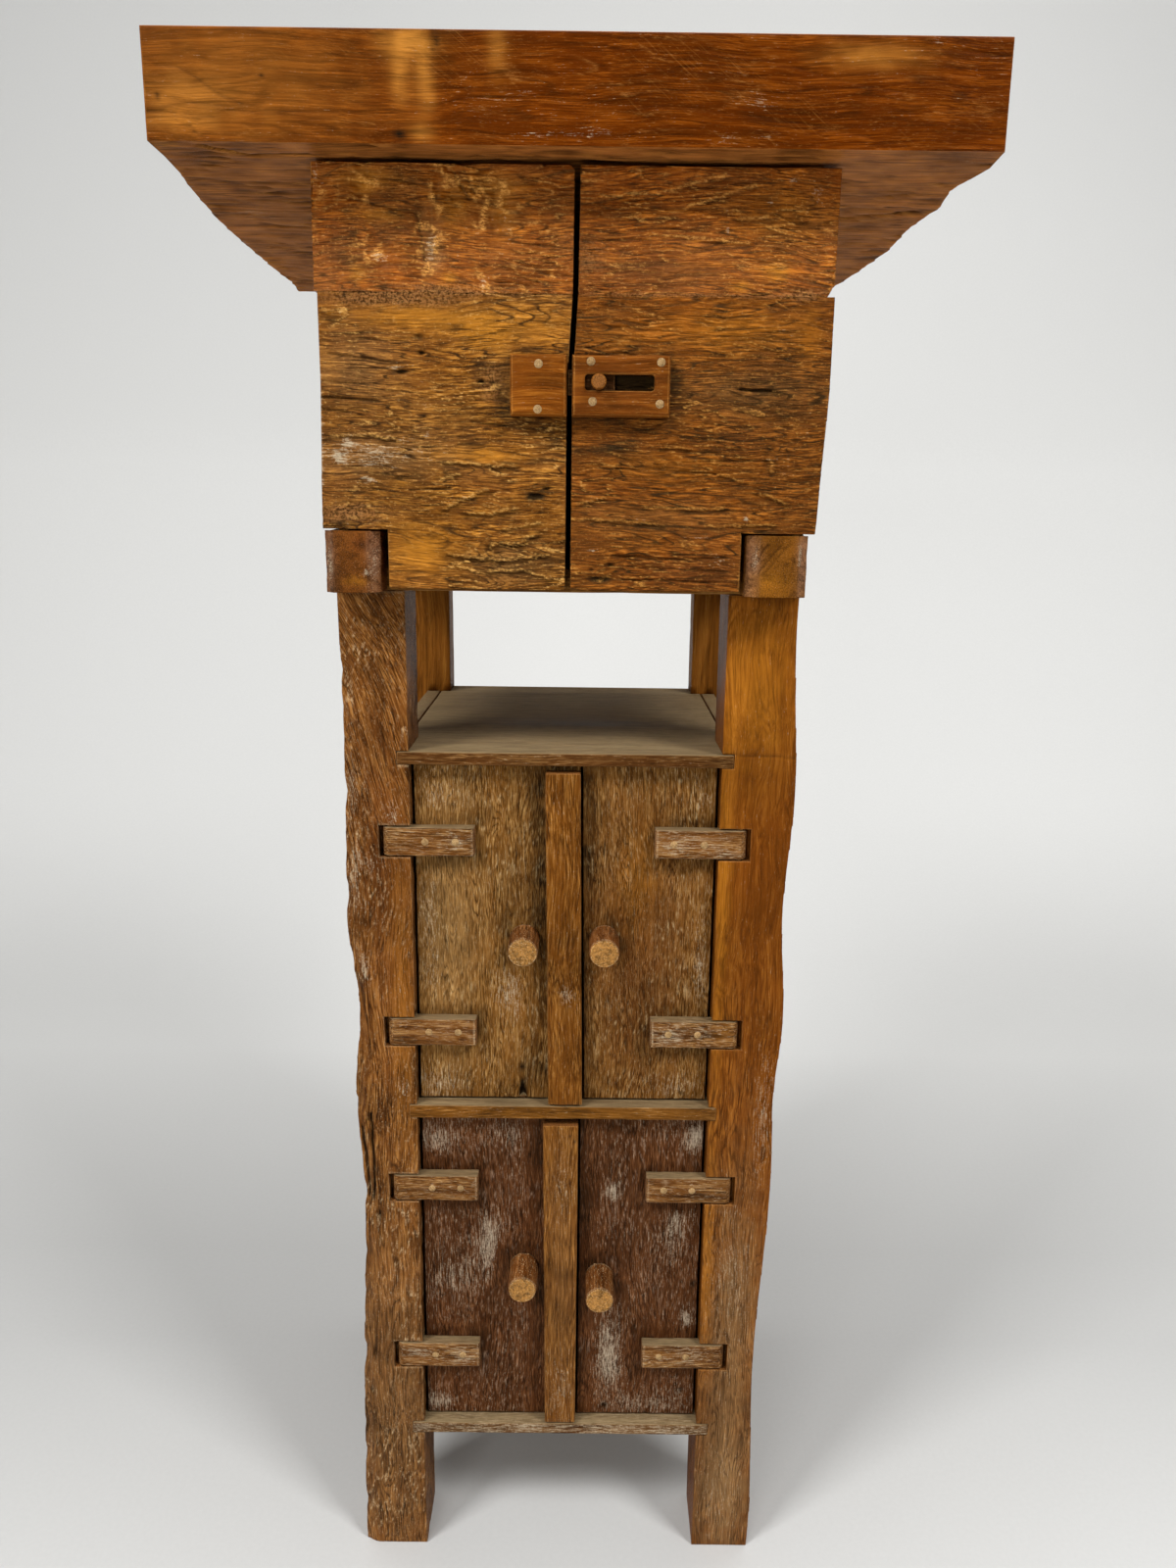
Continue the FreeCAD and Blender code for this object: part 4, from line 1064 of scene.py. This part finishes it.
        dark=[(0, 254, 12, 8, 0.5)], pale=[(0, 330, 8, 40, 0.35), (0, 150, 10, 30, 0.4)],
        grey=[(0, 250, 14, 130, 0.5)],
    ),
}
LEVEL_MARKS = {
    "top_slab": dict(
        crack=[(1.5, 4, ((-216, -192), (-192, -172), (-156, -176))), (1.5, 3, ((170, -46), (235, -66)))],
        warm=[(-238, -193, 9, 8, 0.8), (-252, 97, 8, 8, 0.8)],
        pale=[(-224, -45, 22, 30, 0.6), (232, -184, 20, 14, 0.8)], grey=[(0, 0, 400, 400, 0.9)],
    ),
    # The dark spots on the open shelf are painted shadow: a band across the middle and the two back corners.
    "open_shelf": dict(dark=[(8, -34, 70, 20, 0.9), (-95, 60, 14, 50, 0.4), (95, 60, 14, 50, 0.4)]),
}


def timber_of(node):
    """A piece's own timber, or the one of its kind."""
    if node in TIMBERS:
        return TIMBERS[node]
    if node.endswith("door_panel"):
        return MIDDLE_DOOR if node.startswith("middle") else LOWER_DOOR
    words = node.split("_")
    return next(GROUPS[word] for word in reversed(words) if word in GROUPS)


def dress(node, seed):
    """Adds the look of one node, which rides on the node's body and replaces its CAD mesh."""
    timber = timber_of(node)
    piece = bpy.data.objects.new(f"{node}_look", weathered(node, timber, seed))
    piece.data.materials.append(WOODS[timber.wood])
    bpy.context.scene.collection.objects.link(piece)
    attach(piece, frame["nodes"][node]["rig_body"])
    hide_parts(node)
    timber.slot or timber.wood


def add_camera():
    """The photo's camera: looking along +Y, turned by yaw, pitched down and rolled."""
    forward = Vector((math.sin(CAMERA_YAW) * math.cos(CAMERA_PITCH),
                      math.cos(CAMERA_YAW) * math.cos(CAMERA_PITCH), -math.sin(CAMERA_PITCH)))
    right = Vector((math.cos(CAMERA_YAW), -math.sin(CAMERA_YAW), 0))
    up = right.cross(forward)
    rolled_right = math.cos(CAMERA_ROLL) * right + math.sin(CAMERA_ROLL) * up
    rolled_up = math.cos(CAMERA_ROLL) * up - math.sin(CAMERA_ROLL) * right
    data = bpy.data.cameras.new("camera")
    data.lens = LENS
    data.sensor_width = SENSOR
    data.clip_start = NEAREST
    camera = bpy.data.objects.new("camera", data)
    turn = Matrix((rolled_right, rolled_up, -forward)).transposed()
    camera.matrix_world = Matrix.Translation(CAMERA_PLACE) @ turn.to_4x4()
    bpy.context.scene.collection.objects.link(camera)
    bpy.context.scene.camera = camera


def sweep_mesh():
    """A seamless sweep: floor, a round corner and a wall."""
    front, corner, radius, top, half_width, steps = -3.0, 0.9, 1.0, 3.6, 4.5, 24
    profile = [(front, 0.0)]
    for step in range(steps + 1):
        angle = math.radians(90 * step / steps)
        profile.append((corner + radius * math.sin(angle), radius * (1 - math.cos(angle))))
    profile.append((corner + radius, top))
    points = [(x, y, z) for y, z in profile for x in (-half_width, half_width)]
    faces = [(2 * i, 2 * i + 1, 2 * i + 3, 2 * i + 2) for i in range(len(profile) - 1)]
    mesh = bpy.data.meshes.new("sweep")
    mesh.from_pydata(points, [], faces)
    mesh.shade_smooth()
    return mesh


def sweep_paper_with_painted_shade():
    """Grey paper with painted shade: darker on the floor from front to back, lighter up the wall, darker to
    the left and towards the top; with a faint fibre.
    """
    graph = Graph("sweep_paper_with_painted_shade")
    place = graph.add("ShaderNodeTexCoord", {}).outputs["Object"]
    fibre = graph.noise(place, (0.004, 0.004, 0.004), 3)
    across, away, up = graph.add("ShaderNodeSeparateXYZ", {0: place}).outputs
    # Painted shade: these ramps multiply the paper's colour.
    dim = graph.rise(away, -0.2, 0.1, 0.86, 0.66)
    shades = ((away, 0.25, 0.75, 1.0, 1.4), (across, -0.5, 0.5, 0.92, 1.04), (up, 0.9, 1.85, 1.0, 0.7),
              (fibre, 0.3, 0.7, 0.985, 1.015))
    for shade in shades:
        dim = graph.times(dim, graph.rise(*shade))
    graph.finish_with(Base_Color=graph.brightened(tone("e2e2e0"), dim), Roughness=0.9)
    return graph.material


def add_stage():
    mesh = sweep_mesh()
    mesh.materials.append(sweep_paper_with_painted_shade())
    sweep = bpy.data.objects.new("sweep", mesh)
    bpy.context.scene.collection.objects.link(sweep)


def add_light(name, place, target, size, power):
    data = bpy.data.lights.new(name, "AREA")
    data.shape = "RECTANGLE"
    data.size, data.size_y = size
    data.energy = power
    light = bpy.data.objects.new(name, data)
    light.location = place
    light.rotation_mode = "QUATERNION"
    light.rotation_quaternion = (Vector(target) - Vector(place)).to_track_quat("-Z", "Y")
    bpy.context.scene.collection.objects.link(light)


def add_lights():
    """Two softboxes from above, a weak one in front, one for the wall, and a dim surround."""
    middle = (0, 0, 0.65)
    add_light("left", (-1.75, -1.8, 3.0), middle, (0.9, 0.9), 76)
    add_light("right", (1.75, -1.8, 3.0), middle, (0.9, 0.9), 70)
    add_light("front", (-0.8, -2.5, 1.15), middle, (0.8, 0.8), 20)
    add_light("wall", (0.0, 0.6, 3.0), (0, 1.6, 0.8), (3.0, 1.0), 30)
    world = bpy.data.worlds.new("studio")
    world.use_nodes = True
    surround = world.node_tree.nodes["Background"]
    surround.inputs["Color"].default_value = (1.0, 0.99, 0.97, 1)
    surround.inputs["Strength"].default_value = 0.13
    bpy.context.scene.world = world


for index, name in enumerate(sorted(frame["nodes"])):
    dress(name, FIRST_SEED + SEED_STEP * index)
add_stage()
add_lights()
add_camera()
bpy.context.scene.view_settings.view_transform = "Standard"
